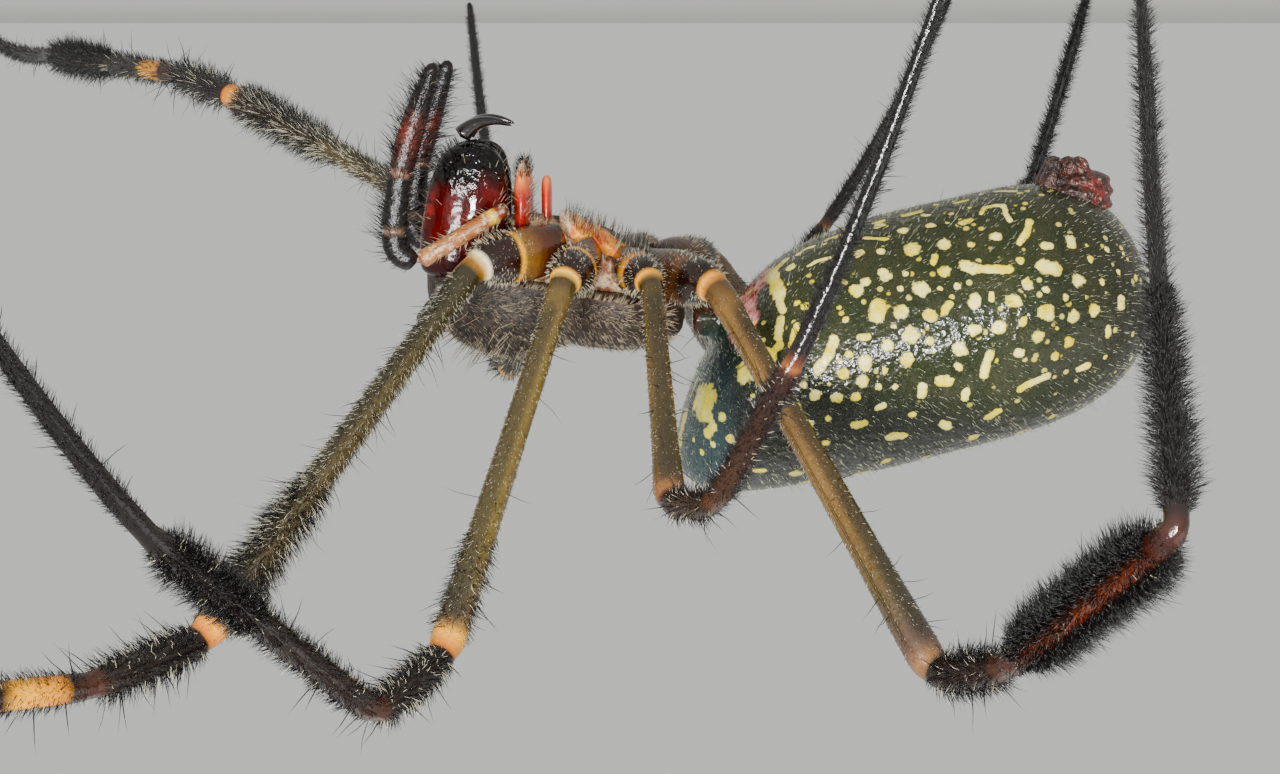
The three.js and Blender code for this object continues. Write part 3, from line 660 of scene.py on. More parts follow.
carapace = {
    "rear": 0.9, "front": 10.7, "halfWidth": 3.2, "headHeight": 3.0, "floorUp": 0.4, "floorSlope": -0.13,
    "widths": (0.62, 0.86, 1, 0.97, 0.84, 0.74, 0.72, 0.7, 0.62, 0.34),
    "heights": (0.42, 0.58, 0.7, 0.72, 0.76, 0.9, 1, 0.98, 0.86, 0.55),
    "grooveDepth": 0.22,
}


def carapaceFloor(forward):
    return carapace["floorUp"] + carapace["floorSlope"] * forward


def carapacePlace(t, angle):
    cos, sin = np.cos(angle), np.sin(angle)
    size = carapace
    forward = size["rear"] + (size["front"] - size["rear"]) * t
    ends = bodyEnds(t, 0.05, 0.06)
    width = through(size["widths"], t) * size["halfWidth"] * ends
    height = through(size["heights"], t) * size["headHeight"] * (0.5 + 0.5 * ends)
    lift = np.where(sin > 0, np.abs(sin) ** 0.8 * height, 0.25 * sin)
    lobe = np.abs(cos)
    neck = np.exp(-((t - 0.42 - 0.12 * lobe) / 0.035) ** 2)     # the groove behind the head
    pit = np.exp(-((t - 0.3) / 0.05) ** 2 - (cos / 0.12) ** 2)
    rays = np.cos(angle * 18) * np.exp(-((t - 0.3) / 0.16) ** 2) * 0.2
    sink = size["grooveDepth"] * (neck * (0.4 + lobe) + pit + rays) * (sin > 0.05)
    rise = carapaceFloor(forward) + lift - sink * np.abs(sin)
    return places(forward, cos * (width - 0.4 * sink), rise)


sternum = {
    "rear": 1.1, "front": 5.65, "halfWidth": 1.9, "rearDrop": 1.0, "frontDrop": 3.0,
    "widths": (0.12, 0.62, 0.86, 0.98, 1, 0.9, 0.6), "plateDepth": 0.5,
}


def sternumUnder(t):
    return -(sternum["rearDrop"] + (sternum["frontDrop"] - sternum["rearDrop"]) * t)


def sternumPlace(t, angle):
    cos, sin = np.cos(angle), np.sin(angle)
    size = sternum
    forward = size["rear"] + (size["front"] - size["rear"]) * t
    ends = bodyEnds(t, 0.06, 0.08)
    scallop = 1 + 0.05 * np.cos(t * tau * 3.4 + 0.4)        # a notch for each coxa
    width = through(size["widths"], t) * size["halfWidth"] * ends * scallop
    under = sternumUnder(t)
    dome = 0.25 * sin ** 2 + 0.1 * np.cos(t * tau * 3.4) * cos ** 2
    low = under - dome * ends
    high = under + size["plateDepth"]
    belly = low + (high - low) * (1 - np.abs(sin) ** 0.6) * 0.6
    return places(forward, cos * width, np.where(sin < 0, belly, high))


def pleuraPlace(t, angle):      # the soft skin between carapace, sternum and coxae
    cos, sin = np.cos(angle), np.sin(angle)
    forward = 1.0 + 6.6 * t
    along = np.clip((forward - sternum["rear"]) / (sternum["front"] - sternum["rear"]), 0, 1.15)
    under = sternumUnder(along) + 0.3
    roof = carapaceFloor(forward) + 0.1
    ends = bodyEnds(t, 0.12, 0.12)
    width = through((1.0, 1.6, 2.0, 2.2, 2.2, 2.0, 1.7), t) * ends
    middle, half = (under + roof) / 2, (roof - under) / 2
    rise = middle + np.sign(sin) * np.abs(sin) ** 0.6 * half
    return places(forward, cos * width, rise)


def buildTrunk(finishes):
    shell, plate = roundShape(carapacePlace, 120, 120), roundShape(sternumPlace, 90, 80)
    buildPiece("carapace_shell", shell, ["carapace"], finishes["carapace"])
    buildPiece("sternum_plate", plate, ["sternum"], finishes["sternum"])
    buildPiece("soft_flank", roundShape(pleuraPlace, 60, 64), (), finishes["membrane"])
    print("trunk built")


abdomen = {
    "front": (0.7, 3.7), "rear": (-16.6, -0.55), "halfHeight": 4.85, "halfWidth": 4.7,
    "inset": 0.04, "frontSlope": 1.8, "rearSlope": 1.1, "frontBluntness": 6.5, "rearBluntness": 4.2,
    "voxel": 0.13, "stalk": (0.6, -2.4), "stalkUp": 0.95, "stalkRadius": 0.72, "hairs": 9000,
}


def abdomenPlace(t, angle):
    size, inset = abdomen, abdomen["inset"]
    where = (1 - np.cos(t * np.pi)) / 2
    bluntness = np.where(where < 0.5, size["frontBluntness"], size["rearBluntness"])
    swell = np.maximum(1 - np.abs(2 * where - 1) ** bluntness, 0) ** 0.46
    plump = 0.98 - 0.05 * where + 0.06 * np.sin(where * np.pi)
    radius = swell * plump
    lift = np.sin(angle) * radius
    shear = size["frontSlope"] * np.clip(1 - where * 2.4, 0, 1)
    shear = shear - size["rearSlope"] * np.clip(where * 2.4 - 1.4, 0, 1)
    (front, frontUp), (rear, rearUp) = size["front"], size["rear"]
    forward = front - inset + (rear - front + 2 * inset) * where + shear * lift
    rise = frontUp + (rearUp - frontUp) * where + lift * (size["halfHeight"] - inset)
    return places(forward, -np.cos(angle) * radius * (size["halfWidth"] - inset), rise)


def remeshed(shape, voxel, smoothing):      # joins overlapping shapes into one skin
    mesh = bpy.data.meshes.new("blank")
    faces = [face for group in shape["faces"] for face in group.tolist()]
    mesh.from_pydata(shape["points"].tolist(), [], faces)
    blank = linked("blank", mesh)
    fuse = blank.modifiers.new("fuse", "REMESH")
    fuse.mode, fuse.voxel_size = "VOXEL", voxel
    soften = blank.modifiers.new("soften", "SMOOTH")
    soften.factor, soften.iterations = 0.5, smoothing
    graph = bpy.context.evaluated_depsgraph_get()
    done = bpy.data.meshes.new_from_object(blank.evaluated_get(graph))
    points = np.zeros(len(done.vertices) * 3)
    done.vertices.foreach_get("co", points)
    corners = np.zeros(len(done.loops), int)
    done.loops.foreach_get("vertex_index", corners)
    bpy.data.objects.remove(blank)
    return {"points": points.reshape(-1, 3), "faces": [corners.reshape(-1, 4)], "layers": {}}


# the markings on each flank of the abdomen, by their half width in mm: round spots as forward and
# rise, and longer marks as the forward and rise of every place that they run through
flankMarks = {
    "mark": {
        0.08: ((-13.6, -2.2), (-3.9, 2.7)),
        0.09: ((-8.7, -2.9), (-8.7, -3.2), (-4.6, -3), (-4.2, 2.7), (-5.7, -2.3, -6, -2.3),
            (-6.1, -2.3, -6.5, -2.3), (-10, -0.6, -10, -0.3)),
        0.1: ((-5.2, -3.3), (-9.6, -3.4), (-4.2, -2.5), (-4.3, -2), (-15.1, -1.8), (-13.5, -0.4),
            (-8.2, -0.7), (-4.6, 0), (-12.4, 0.7), (-1.5, 3.2), (0.6, 5.2), (-3.4, 1.6), (-3.8, 0.1),
            (-14.4, 1.9), (-6, -3.3, -6.3, -3.3), (-7.9, -3.1, -8.1, -3.1), (-4.2, -2.9, -4.4, -2.9),
            (-3.2, -2.4, -3.6, -2.4), (-10.7, -3.9, -11.4, -4.1),
            (-9.9, -3.2, -10.1, -3.4, -10.5, -3.5, -10.8, -3.5, -10.8, -3.2, -10.9, -3),
            (-3.6, -1.3, -4, -1.5, -4.7, -1.7)),
        0.12: ((-8.5, -3.4), (-10.2, -3.8), (-5, -2.6), (-14.4, -2), (-6.5, 0.6), (-6.2, -3, -6.4, -3),
            (-9.2, -3.5, -9.6, -3.6), (-11.2, 0.3, -11.1, 0.5), (-5.3, 1, -5.6, 1)),
        0.13: ((-5.1, -2.3), (-3.8, -2), (-7, -1.2), (-4.7, -1.1), (-6.8, -0.7), (-14.8, -1.2),
            (-8.8, -0.8), (-4.8, 0.4), (-6.6, 2.8), (-6, 2.8), (-4.2, 4), (-3.6, 4.2), (-3.1, -0.1),
            (-8, -1.6, -8.1, -1.8), (-8.8, 2, -8.9, 2.1), (-6, 3.6, -6.2, 3.5), (-1.7, 6.2, -2, 6.2),
            (-1.7, -1.7, -1.8, -0.9)),
        0.14: ((-12, -0.7), (-7.3, 3.9), (-0.1, 5.2), (0.3, 5.6), (-9.2, -2.9, -9.5, -3),
            (-11.6, -3, -11.4, -2.6, -11.1, -2.3), (-8.5, -0.2, -8.3, 0.1), (-12.4, 1.7, -12.4, 1.8),
            (-9.2, 3, -9.2, 3.3), (-4.3, -0.6, -4.1, -0.2), (1.7, 2.7, 1.5, 6.2, 1.3, 6.3)),
        0.15: ((-4.7, -2.4), (-3.3, -1.7), (-9.4, -2.2), (-11.1, -1.7), (-14.1, -0.9), (-13.7, -1.7),
            (-15.6, -0.9), (-12.7, -0.4), (-6.2, 2.2), (-4.9, 1.6), (-3.3, 2.7),
            (-7.2, -3.3, -7.5, -3.4, -7.8, -3.5), (-12, -2.2, -12.2, -2.2), (-13.4, 2.3, -13.7, 2.2),
            (-14.4, 0.8, -14.4, 1), (-11.2, 3, -11.7, 2.7, -12.2, 2.5), (-3.5, 5.8, -3.8, 5.7),
            (-2.5, -0.2, -2.6, 0.2)),
        0.17: ((-6.2, -1.9), (-7.8, 1.1), (-4.2, 5), (-3.4, 0), (-9.4, -1.4, -10, -1.4, -10.7, -1.4),
            (-11, 1.6, -11.1, 1.6), (-10, 1.6, -9.9, 1.9, -9.8, 2.4), (-7.6, 2.8, -7.6, 3.1),
            (-5.2, 4.3, -5.5, 4.2), (-3.1, 0.7, -2.9, 1.3), (-2.5, 0.5, -2.4, 1.1)),
        0.18: ((-8.1, -2.8), (-5.2, 3.2), (-0.4, 4.1), (-0.7, 4.9), (-13, -2.4, -13, -2.2),
            (-14.9, -0.2, -14.9, 0), (-8.5, 4.3, -8.7, 4.5), (-10.2, 4.1, -10.5, 3.9)),
        0.19: ((-5.6, -2.6), (-5.6, -0.9), (-1.9, 3.7), (-2.4, 1.4), (-4.4, 1.1, -4.2, 1.6, -3.8, 2.2)),
        0.21: ((-7.1, -2.6), (-3.7, 3.1), (-2, 3), (-6.2, -1.2, -6.3, -1.1), (-6.6, 4.8, -7, 4.8),
            (0.1, 4.8, -0.1, 4.5)),
        0.22: ((-5.4, -1.8), (-10.3, -2.5), (-11.3, -0.9), (-12.9, 1.2), (-6.3, 1.3), (-4.7, 2.3),
            (-4.5, 3.2), (-2.9, 4.4), (-9.1, -1.5, -9.4, -1.4), (-9.4, -0.4, -9.4, -0.2),
            (-3.1, 1.8, -2.7, 2.2, -2.2, 2.5), (-2.1, -2.4, -2.2, -1.7, -2.3, -1.1)),
        0.23: ((-6.3, -2.7), (-3, -1.2), (-8.4, -1.3), (-13.8, 0.1), (-13, 0.3), (-9.4, 0.7),
            (-5.4, 2.6), (-3, 3.5), (-8.3, 2.6, -8.5, 2.6)),
        0.24: ((-7.8, 0.2), (-11.7, 1), (-10.7, -0.3, -10.9, -0.3), (-5.5, 1.8, -5.5, 2),
            (-3.7, 0.7, -3.6, 1)),
        0.26: ((-13.2, -1), (-6.8, 0.1), (-5.2, -0.6)),
        0.27: ((-8.5, -2.2), (-8.9, 1.4), (-7, 1.8), (-11.9, -1.5, -12.3, -1.4)),
        0.28: ((-10.3, 0.6), (-2.3, -1.1, -2.4, -0.6, -2.5, -0.3)),
        0.3: ((-12, 0.1), (-7.1, 0.9)),
        0.31: ((-7.3, -2), (-7.5, -0.7), (-6, -0.1, -5.9, 0.2)),
        0.39: ((-1.2, 2.4, -1.6, 2.2, -2, 1.8), (1.3, 5.4, 1, 4.6)),
        0.57: ((0.4, 3.7, 0.1, 3.6, 0.2, 3.9),),
    },
    "arch": {0.17: ((0.8, -1.2, 0.7, -1.5, 0.4, -1.8, -0.1, -1.8, -0.5, -1.2),)},
    "plate": {0.45: ((0.2, -1.0, -0.3, 0.4),)},
    "pink": {0.8: ((-0.3, -2.2, -1.1, 0, -1.2, 0.9),)},
}
# pairs of spots on its back, as forward, left and half width
backSpots = (
    (-2.0, 0.9, 0.42), (-3.6, 1.7, 0.3), (-4.4, 0.6, 0.26), (-5.8, 1.5, 0.34), (-7.2, 0.7, 0.3),
    (-8.2, 1.8, 0.26), (-9.6, 1.0, 0.34), (-11.2, 0.5, 0.24), (-11.8, 1.7, 0.28), (-13.2, 0.9, 0.26),
    (-14.6, 0.4, 0.2), (-6.6, 2.6, 0.2), (-9.8, 2.7, 0.22), (-12.8, 2.4, 0.18), (-3.2, 2.9, 0.24),
)


def outermost(tree, forward, rise):     # the place on the right flank, mirrored to the left
    start = Vector(spot(forward, -20, rise))
    hit = tree.ray_cast(start, Vector(xAxis))[0]
    if hit is None:
        hit = tree.find_nearest(Vector(spot(forward, -1.0, rise)))[0]
    return np.array((abs(hit.x), hit.y, hit.z))


def markedSkin(skin):       # how far each point lies from the marks, against their half widths
    tree = BVHTree.FromPolygons(skin["points"].tolist(), skin["faces"][0].tolist())
    folded = skin["points"] * np.where(skin["points"][:, :1] < 0, (-1, 1, 1), (1, 1, 1))
    top = folded[:, 2] > np.interp(folded[:, 1], (0, 16), (4.5, 1.5))
    overhead = [np.where(top, np.hypot(folded[:, 0] - left, folded[:, 1] + forward) / width, 9.0)
                for forward, left, width in backSpots]
    for name, marks in flankMarks.items():
        nearest = np.min(overhead, axis=0) if name == "mark" else np.full(len(folded), 9.0)
        for width, run in [(width, run) for width, runs in marks.items() for run in runs]:
            line = [outermost(tree, *place) for place in np.reshape(run, (-1, 2))]
            for start, end in zip(line, line[1:] or line):
                step = end - start
                u = np.clip((folded - start) @ step / max(step @ step, 1e-9), 0, 1)
                away = np.linalg.norm(folded - start - u[:, None] * step, axis=1)
                nearest = np.minimum(nearest, away / width)
        skin["layers"][name] = nearest
    return skin


def buildAbdomen(finish):
    run = np.linspace(*abdomen["stalk"], 12)
    stalk = railFrom([spot(forward, 0, abdomen["stalkUp"]) for forward in run])
    neck = np.linspace(1, 1.25, 12) * abdomen["stalkRadius"]
    shape = joined([roundShape(abdomenPlace, 120, 96), tubeAlong(stalk, neck, neck, 32)])
    skin = markedSkin(remeshed(shape, abdomen["voxel"], 6))
    buildPiece("abdomen_skin", skin, ["abdomen", "pedicel"], finish)
    print("abdomen built with", len(skin["points"]), "points")
    return skin


spinnerets = {
    "forward": -13.2, "baseRadius": 1.6, "top": -2.6, "height": 2.1, "lean": 0.45,
    "lobes": ((0.5, 0.45), (-0.3, 0.4), (-0.85, 0.28)),     # ahead and aside of the middle, for each pair
}


def spinneretPlace(t, angle):
    size = spinnerets
    rings = 1 - 0.05 * np.cos(t * tau * 4)
    radius = size["baseRadius"] * through((1.1, 1.05, 0.95, 0.78, 0.55), t) * rings * bodyEnds(t, 0.05, 0.2)
    forward = size["forward"] - size["lean"] * t * size["height"] - np.sin(angle) * radius
    return places(forward, -np.cos(angle) * radius * 0.92, size["top"] - t * size["height"])


def buildSpinnerets(finish):
    size, lobes = spinnerets, [roundShape(spinneretPlace, 50, 48)]
    high, low = size["top"] - size["height"] * 0.62, size["top"] - size["height"] - 0.5
    t = np.linspace(0, 1, 14)
    radius = (0.44 - 0.16 * t) * bodyEnds(t, 0.2, 0.3)
    for ahead, aside in size["lobes"]:
        for mirror in (-1, 1):
            base = spot(size["forward"] + ahead, aside * mirror, high)
            tip = spot(size["forward"] + ahead * 0.6 - 0.2, aside * 0.6 * mirror, low)
            lobes.append(tubeAlong(railFrom(base + (tip - base) * t[:, None]), radius, radius, 18))
    cluster = remeshed(joined(lobes), 0.07, 2)
    buildPiece("spinneret_cluster", cluster, ["spinnerets"], finish)
    print("spinnerets built")


chelicera = {
    "forward": 9.35, "left": 1.22, "lean": -0.55, "length": 4.7, "halfWidth": 0.99, "halfDepth": 1.56,
    "girths": (0.88, 1, 1.03, 1, 0.94, 0.8, 0.56),
}
fang = {"length": 1.9, "radius": 0.36, "drop": 0.35}
endite = {
    "forward": 6.98, "halfThickness": 0.3, "bottom": -5.1,
    "halves": (0.5, 0.5, 0.58, 0.78, 0.84, 0.66, 0.38), "middles": (0.72, 0.72, 0.82, 1.1, 1.2, 1.15, 1.05),
}
labium = {"forward": 6.12, "halfThickness": 0.2, "halfWidth": 0.62, "top": -1.2, "bottom": -4.5}


def jawTop():       # just inside the carapace
    return carapaceFloor(chelicera["forward"]) + 0.15


def jawPlace(mirror):
    size, top = chelicera, jawTop()

    def place(t, angle):
        lumps = 0.03 * np.sin(5 * angle + 23 * t) * np.sin(3 * angle - 31 * t)
        lumps = lumps + 0.02 * np.sin(11 * angle + 40 * t)
        girth = through(size["girths"], t) * bodyEnds(t, 0.1, 0.1) * (1 + lumps * smooth(t, 0.62, 0.8))
        forward = size["forward"] + size["lean"] * t + np.sin(angle) * girth * size["halfDepth"]
        left = size["left"] * mirror + np.cos(angle) * girth * size["halfWidth"]
        return places(forward, left, top - t * (size["length"] + 0.4))
    return place


def enditePlace(mirror):
    roof = carapaceFloor(endite["forward"]) + 0.1

    def place(t, angle):
        half = through(endite["halves"], t) * bodyEnds(t, 0.1, 0.14)
        forward = endite["forward"] + np.sin(angle) * endite["halfThickness"] * np.minimum(1, half * 1.4)
        middle = through(endite["middles"], t) * mirror
        return places(forward, middle + np.cos(angle) * half, roof + (endite["bottom"] - roof) * t)
    return place


def labiumPlace(t, angle):
    size, ends = labium, bodyEnds(t, 0.1, 0.15)
    width = size["halfWidth"] * through((0.9, 1, 0.95, 0.6), t) * ends
    forward = size["forward"] + np.sin(angle) * size["halfThickness"] * ends
    return places(forward, np.cos(angle) * width, size["top"] + (size["bottom"] - size["top"]) * t)


def buildMouth(finishes):
    size, u = chelicera, np.linspace(0, 1, 24)
    root = (size["forward"] + size["lean"] + 0.45, jawTop() - size["length"] - 0.6)
    for side, mirror in bothSides:
        jaw, lobe = roundShape(jawPlace(mirror), 80, 64), roundShape(enditePlace(mirror), 70, 48)
        buildPiece(f"jaw_{side}", jaw, [f"chelicera_{side}"], finishes["chelicera"])
        base = spot(root[0], size["left"] * mirror, root[1])
        bend = base + np.array((-0.1 * mirror, fang["length"] * 0.4, -fang["drop"] * 1.6 - 0.35))
        tip = base + np.array((-0.35 * mirror, fang["length"], -fang["drop"] * 0.4 - 0.25))
        taper = fang["radius"] * (1 - 0.86 * u) * bodyEnds(u, 0.05, 0.1)
        claw = tubeAlong(railFrom(curve(base, bend, tip, u[:, None])), taper, taper, 20)
        buildPiece(f"fang_{side}_claw", claw, [f"fang_{side}"], finishes["fang"])
        buildPiece(f"endite_{side}_lobe", lobe, [f"endite_{side}"], finishes["endite"])
    plate = roundShape(labiumPlace, 50, 40)
    buildPiece("labium_plate", plate, ["labium"], finishes["endite"])
    print("mouth built")


eyes = {
    "medianMound": (10.25, 0, 0.85), "moundRadius": 0.72, "medianRadius": 0.27, "medianSpread": 0.36,
    "lateralMound": (9.75, 1.55, 0.0), "lateralMoundRadius": 0.45, "lateralRadius": 0.25,
    "lateralSpread": 0.24,
}


def ball(center, radius):
    def place(t, angle):
        across, up = np.sin(t * np.pi), np.cos(t * np.pi)
        return np.stack([across * np.cos(angle), across * np.sin(angle), up], -1) * radius + center
    return roundShape(place, 28, 32)


def buildEyes(finishes):
    middle, reach = spot(*eyes["medianMound"]), eyes["moundRadius"] * 0.82
    mounds, beads = [ball(middle, eyes["moundRadius"] * 0.97)], []
    for tilt in (0.15, 1.05):
        for mirror in (-1, 1):
            left = eyes["medianSpread"] * mirror * (1 + 0.25 * tilt)
            bead = middle + spot(math.cos(tilt) * reach, left, math.sin(tilt) * reach)
            beads.append(ball(bead, eyes["medianRadius"]))
    ahead, aside, high = eyes["lateralMound"]
    for mirror in (-1, 1):
        mounds.append(ball(spot(ahead, aside * mirror, high), eyes["lateralMoundRadius"] * 0.97))
        for end in (-1, 1):
            forward, left = ahead + 0.22 + end * eyes["lateralSpread"], (aside + 0.24 - end * 0.06) * mirror
            beads.append(ball(spot(forward, left, high + 0.06), eyes["lateralRadius"]))
    nodes = ["eyes_median", "eyes_lateral_R", "eyes_lateral_L"]
    buildPiece("eye_mounds", joined(mounds), (), finishes["carapace"])
    buildPiece("eye_beads", joined(beads), nodes, finishes["eye"])
    print("eyes built")


palp = {
    # root, elbow, wrist and tip
    "corners": ((7.4, 2.6, -3.5), (10.75, 3.1, -1.5), (11.15, 3.05, -5.2), (10.0, 2.8, -8.7)),
    "femurRadius": 0.3, "armRadii": (0.42, 0.5, 0.44, 0.48, 0.42, 0.26),
}


def smoothLine(points, count):      # an even run of points on a curve through these
    fine = through(points, np.linspace(0, 1, 400))
    travel = travelOf(fine)
    even = np.linspace(0, travel[-1], count)
    return np.stack([np.interp(even, travel, fine[:, i]) for i in range(3)], -1)


def palpRails(mirror):
    root, elbow, wrist, tip = [mirrored(corner, mirror) for corner in palp["corners"]]
    knuckle = elbow + np.array((0, -0.75, -0.75))
    upper = railFrom(smoothLine([root, (root + elbow) / 2, elbow - (elbow - root) * 0.03], 40))
    return upper, railFrom(smoothLine([elbow, knuckle, wrist, tip], 120))


def buildPalps(finishes):
    for side, mirror in bothSides:
        upper, arm = palpRails(mirror)
        t = np.linspace(0, 1, 40)
        girth = palp["femurRadius"] * through((0.9, 1, 1.02, 1.05, 1.1), t) * bodyEnds(t, 0.04, 0.06)
        rod = tubeAlong(upper, girth, girth, 24, t=t)
        buildPiece(f"palp_{side}_rod", rod, [f"palp_{side}_femur"], finishes["palpRod"])
        t = np.linspace(0, 1, 120)
        pinch = 1 - 0.2 * np.exp(-((t - 0.2) / 0.018) ** 2) - 0.14 * np.exp(-((t - 0.47) / 0.018) ** 2)
        girth = through(palp["armRadii"], t) * pinch * bodyEnds(t, 0.05, 0.05) * 0.97
        arm = tubeAlong(arm, girth, girth, 28, t=t)
        buildPiece(f"palp_{side}_arm", arm, [f"palp_{side}_tarsus"], finishes["palpArm"])
    print("palps built")


# hair for each pair of legs: from and to by stage, how many, shortest and longest in mm, half
# thickness, how far it leans to the tip, how much of it is pale, and whether it fringes the
# front and rear edges of the leg
legHair = {
    1: ((0.45, 0.97, 700, 0.1, 0.26, 0.009, 0.9, 0.5), (1.05, 1.97, 5600, 0.12, 0.34, 0.008, 0.9, 0.42),
        (1.6, 1.95, 2600, 0.4, 0.85, 0.012, 0.6, 0.12), (1.1, 1.95, 110, 0.8, 1.3, 0.017, 0.5, 0),
        (2.03, 2.97, 1300, 0.3, 0.75, 0.012, 0.6, 0.1), (3.03, 3.97, 2600, 0.25, 0.55, 0.011, 0.7, 0.05),
        (3.5, 3.93, 2200, 0.5, 1.0, 0.013, 0.6, 0), (2.05, 3.95, 60, 1.0, 1.6, 0.024, 0.35, 0),
        (4.03, 4.98, 3200, 0.2, 0.45, 0.01, 0.9, 0), (4.05, 4.7, 50, 0.6, 1.1, 0.02, 0.4, 0)),
    2: ((0.45, 0.97, 700, 0.1, 0.26, 0.009, 0.9, 0.5), (1.05, 1.97, 2600, 0.06, 0.15, 0.007, 1.0, 0.45),
        (1.7, 1.95, 700, 0.25, 0.5, 0.011, 0.7, 0.1), (1.1, 1.95, 36, 0.8, 1.4, 0.02, 0.45, 0),
        (2.03, 2.97, 1100, 0.25, 0.6, 0.012, 0.6, 0.2), (3.03, 3.97, 2400, 0.25, 0.5, 0.011, 0.7, 0.05),
        (3.55, 3.93, 1800, 0.4, 0.85, 0.013, 0.6, 0), (2.05, 3.95, 50, 1.0, 1.5, 0.023, 0.35, 0),
        (4.03, 4.98, 2800, 0.2, 0.4, 0.01, 0.9, 0), (4.05, 4.7, 40, 0.6, 1.0, 0.02, 0.4, 0)),
    3: ((0.45, 0.97, 600, 0.1, 0.24, 0.009, 0.9, 0.5), (1.05, 1.97, 1600, 0.06, 0.15, 0.007, 1.0, 0.4),
        (1.1, 1.95, 26, 0.8, 1.4, 0.019, 0.4, 0), (2.03, 2.97, 600, 0.2, 0.45, 0.011, 0.6, 0.1),
        (3.03, 3.97, 1500, 0.2, 0.45, 0.011, 0.7, 0.05), (2.05, 3.95, 36, 0.8, 1.4, 0.02, 0.35, 0),
        (4.03, 4.98, 2200, 0.2, 0.4, 0.01, 0.9, 0), (4.05, 4.7, 40, 0.5, 0.9, 0.018, 0.4, 0)),
    4: ((0.45, 0.97, 700, 0.1, 0.24, 0.009, 0.9, 0.5), (1.05, 1.97, 2200, 0.06, 0.15, 0.007, 1.0, 0.4),
        (1.1, 1.95, 22, 0.8, 1.4, 0.019, 0.4, 0), (2.03, 2.97, 1200, 0.3, 0.7, 0.012, 0.6, 0.05),
        (3.03, 3.97, 1500, 0.2, 0.5, 0.011, 0.7, 0.05), (3.1, 3.88, 7600, 0.5, 1.2, 0.014, 0.6, 0, True),
        (4.03, 4.45, 3600, 0.4, 0.85, 0.012, 0.6, 0), (4.4, 4.98, 2200, 0.25, 0.55, 0.011, 0.8, 0),
        (2.05, 3.95, 50, 1.0, 1.7, 0.022, 0.35, 0)),
}


hairSpread = 0.16       # how far hairs of a tuft differ in direction


def between(low, high, count):
    return low + (high - low) * draw.random(count)


def hairSizes(shortest, longest, radius, count):
    return between(shortest, longest, count), radius * between(0.75, 1.2, count)


# each hair is a blade that tapers from its root to its tip, in nine small faces
def hairs(roots, ways, lengths, radii, pale, unwrap):
    count, bow, half = len(roots), 0.16, 0.52       # how far it bends and where its middle is
    ways = unit(ways)
    aside = unit(np.cross(ways, unit(draw.normal(size=(count, 3)))))
    around = np.cross(ways, aside)
    droop = unit(draw.normal(size=(count, 3))) * (lengths * bow)[:, None]
    corner = (np.arange(3) * tau / 3)[:, None]
    ring = aside[:, None] * np.cos(corner) + around[:, None] * np.sin(corner)
    thick, long = radii[:, None, None], lengths[:, None]
    base = (roots - ways * 0.02)[:, None] + ring * thick
    middle = (roots + ways * long * half + droop * 0.2)[:, None] + ring * thick * 0.7
    tip = (roots + ways * long + droop)[:, None]
    points = np.concatenate([base, middle, tip], 1).reshape(-1, 3)
    first = (np.arange(count) * 7)[:, None]
    sides = [first + np.array((i, (i + 1) % 3, 3 + (i + 1) % 3, 3 + i)) for i in range(3)]
    ends = [first + np.array((3 + i, 3 + (i + 1) % 3, 6)) for i in range(3)]
    steps = np.array([(0, 0), (1.5, 0), (3, 0), (0, 1.5), (1.5, 1.5), (3, 1.5), (1.5, 3)]) * 0.001
    patch = np.clip(unwrap, 0, 1)[:, None] * 0.99 + 0.003 + steps
    tint = np.where(draw.random(count) < pale, 0.96, 0.1 + 0.4 * draw.random(count))
    layers = {"tint": np.repeat(tint, 7), "t": np.tile((0, 0, 0, half, half, half, 1), count)}
    faces = [np.concatenate(sides), np.concatenate(ends)]
    return {"points": points, "faces": faces, "layers": layers, "uv": patch.reshape(-1, 2)}


def buildCoat(name, tufts, finish):
    shape = joined(tufts)
    buildPiece(name, shape, (), finish, np.concatenate([tuft["uv"] for tuft in tufts]))
    print(name, "with", len(shape["points"]) // 7, "hairs")


def along(rail, key, values):       # what a rail knows at these stages
    known = np.reshape(rail[key], (len(rail["stage"]), -1)).T
    return np.stack([np.interp(values, rail["stage"], row) for row in known], -1)


def railTuft(rail, low, high, count, shortest, longest, radius, lean, pale, fringe=False):
    stage, turn = between(low, high, count), between(0, tau, count)
    side, back, tangent = (unit(along(rail, key, stage)) for key in ("side", "back", "tangent"))
    if fringe:      # to the edges that are seen from the animal's side
        edge = np.arctan2(-side[:, 0], back[:, 0])
        turn = edge + draw.normal(0, 0.7, count) + np.pi * (draw.random(count) < 0.5)
    wide, tall = along(rail, "wide", stage), along(rail, "tall", stage)
    cos, sin = np.cos(turn)[:, None], np.sin(turn)[:, None]
    roots = along(rail, "line", stage) + side * cos * wide + back * sin * tall
    outward = unit(side * cos / wide + back * sin / tall)
    ways = outward + tangent * lean + draw.normal(0, hairSpread, (count, 3))
    lengths, radii = hairSizes(shortest, longest, radius, count)
    lengths = lengths * np.minimum(1, np.minimum(stage - low, high - stage) / (high - low) * 5 + 0.45)
    room = roots[:, 2] + unit(ways)[:, 2] * lengths + standHeight     # hair stays above the floor
    lengths = np.where(room < 0.05, lengths * 0.3, lengths)
    unwrap = np.stack([along(rail, "travel", stage)[:, 0] / rail["travel"][-1], (turn / tau) % 1], -1)
    return hairs(roots, ways, lengths, radii, pale, unwrap)


def buildLegCoats(finish):
    for name, rail in rails.items():
        tufts = [railTuft(rail, *band) for band in legHair[int(name[1])]]
        buildCoat(f"leg_{name}_hair", tufts, finish)


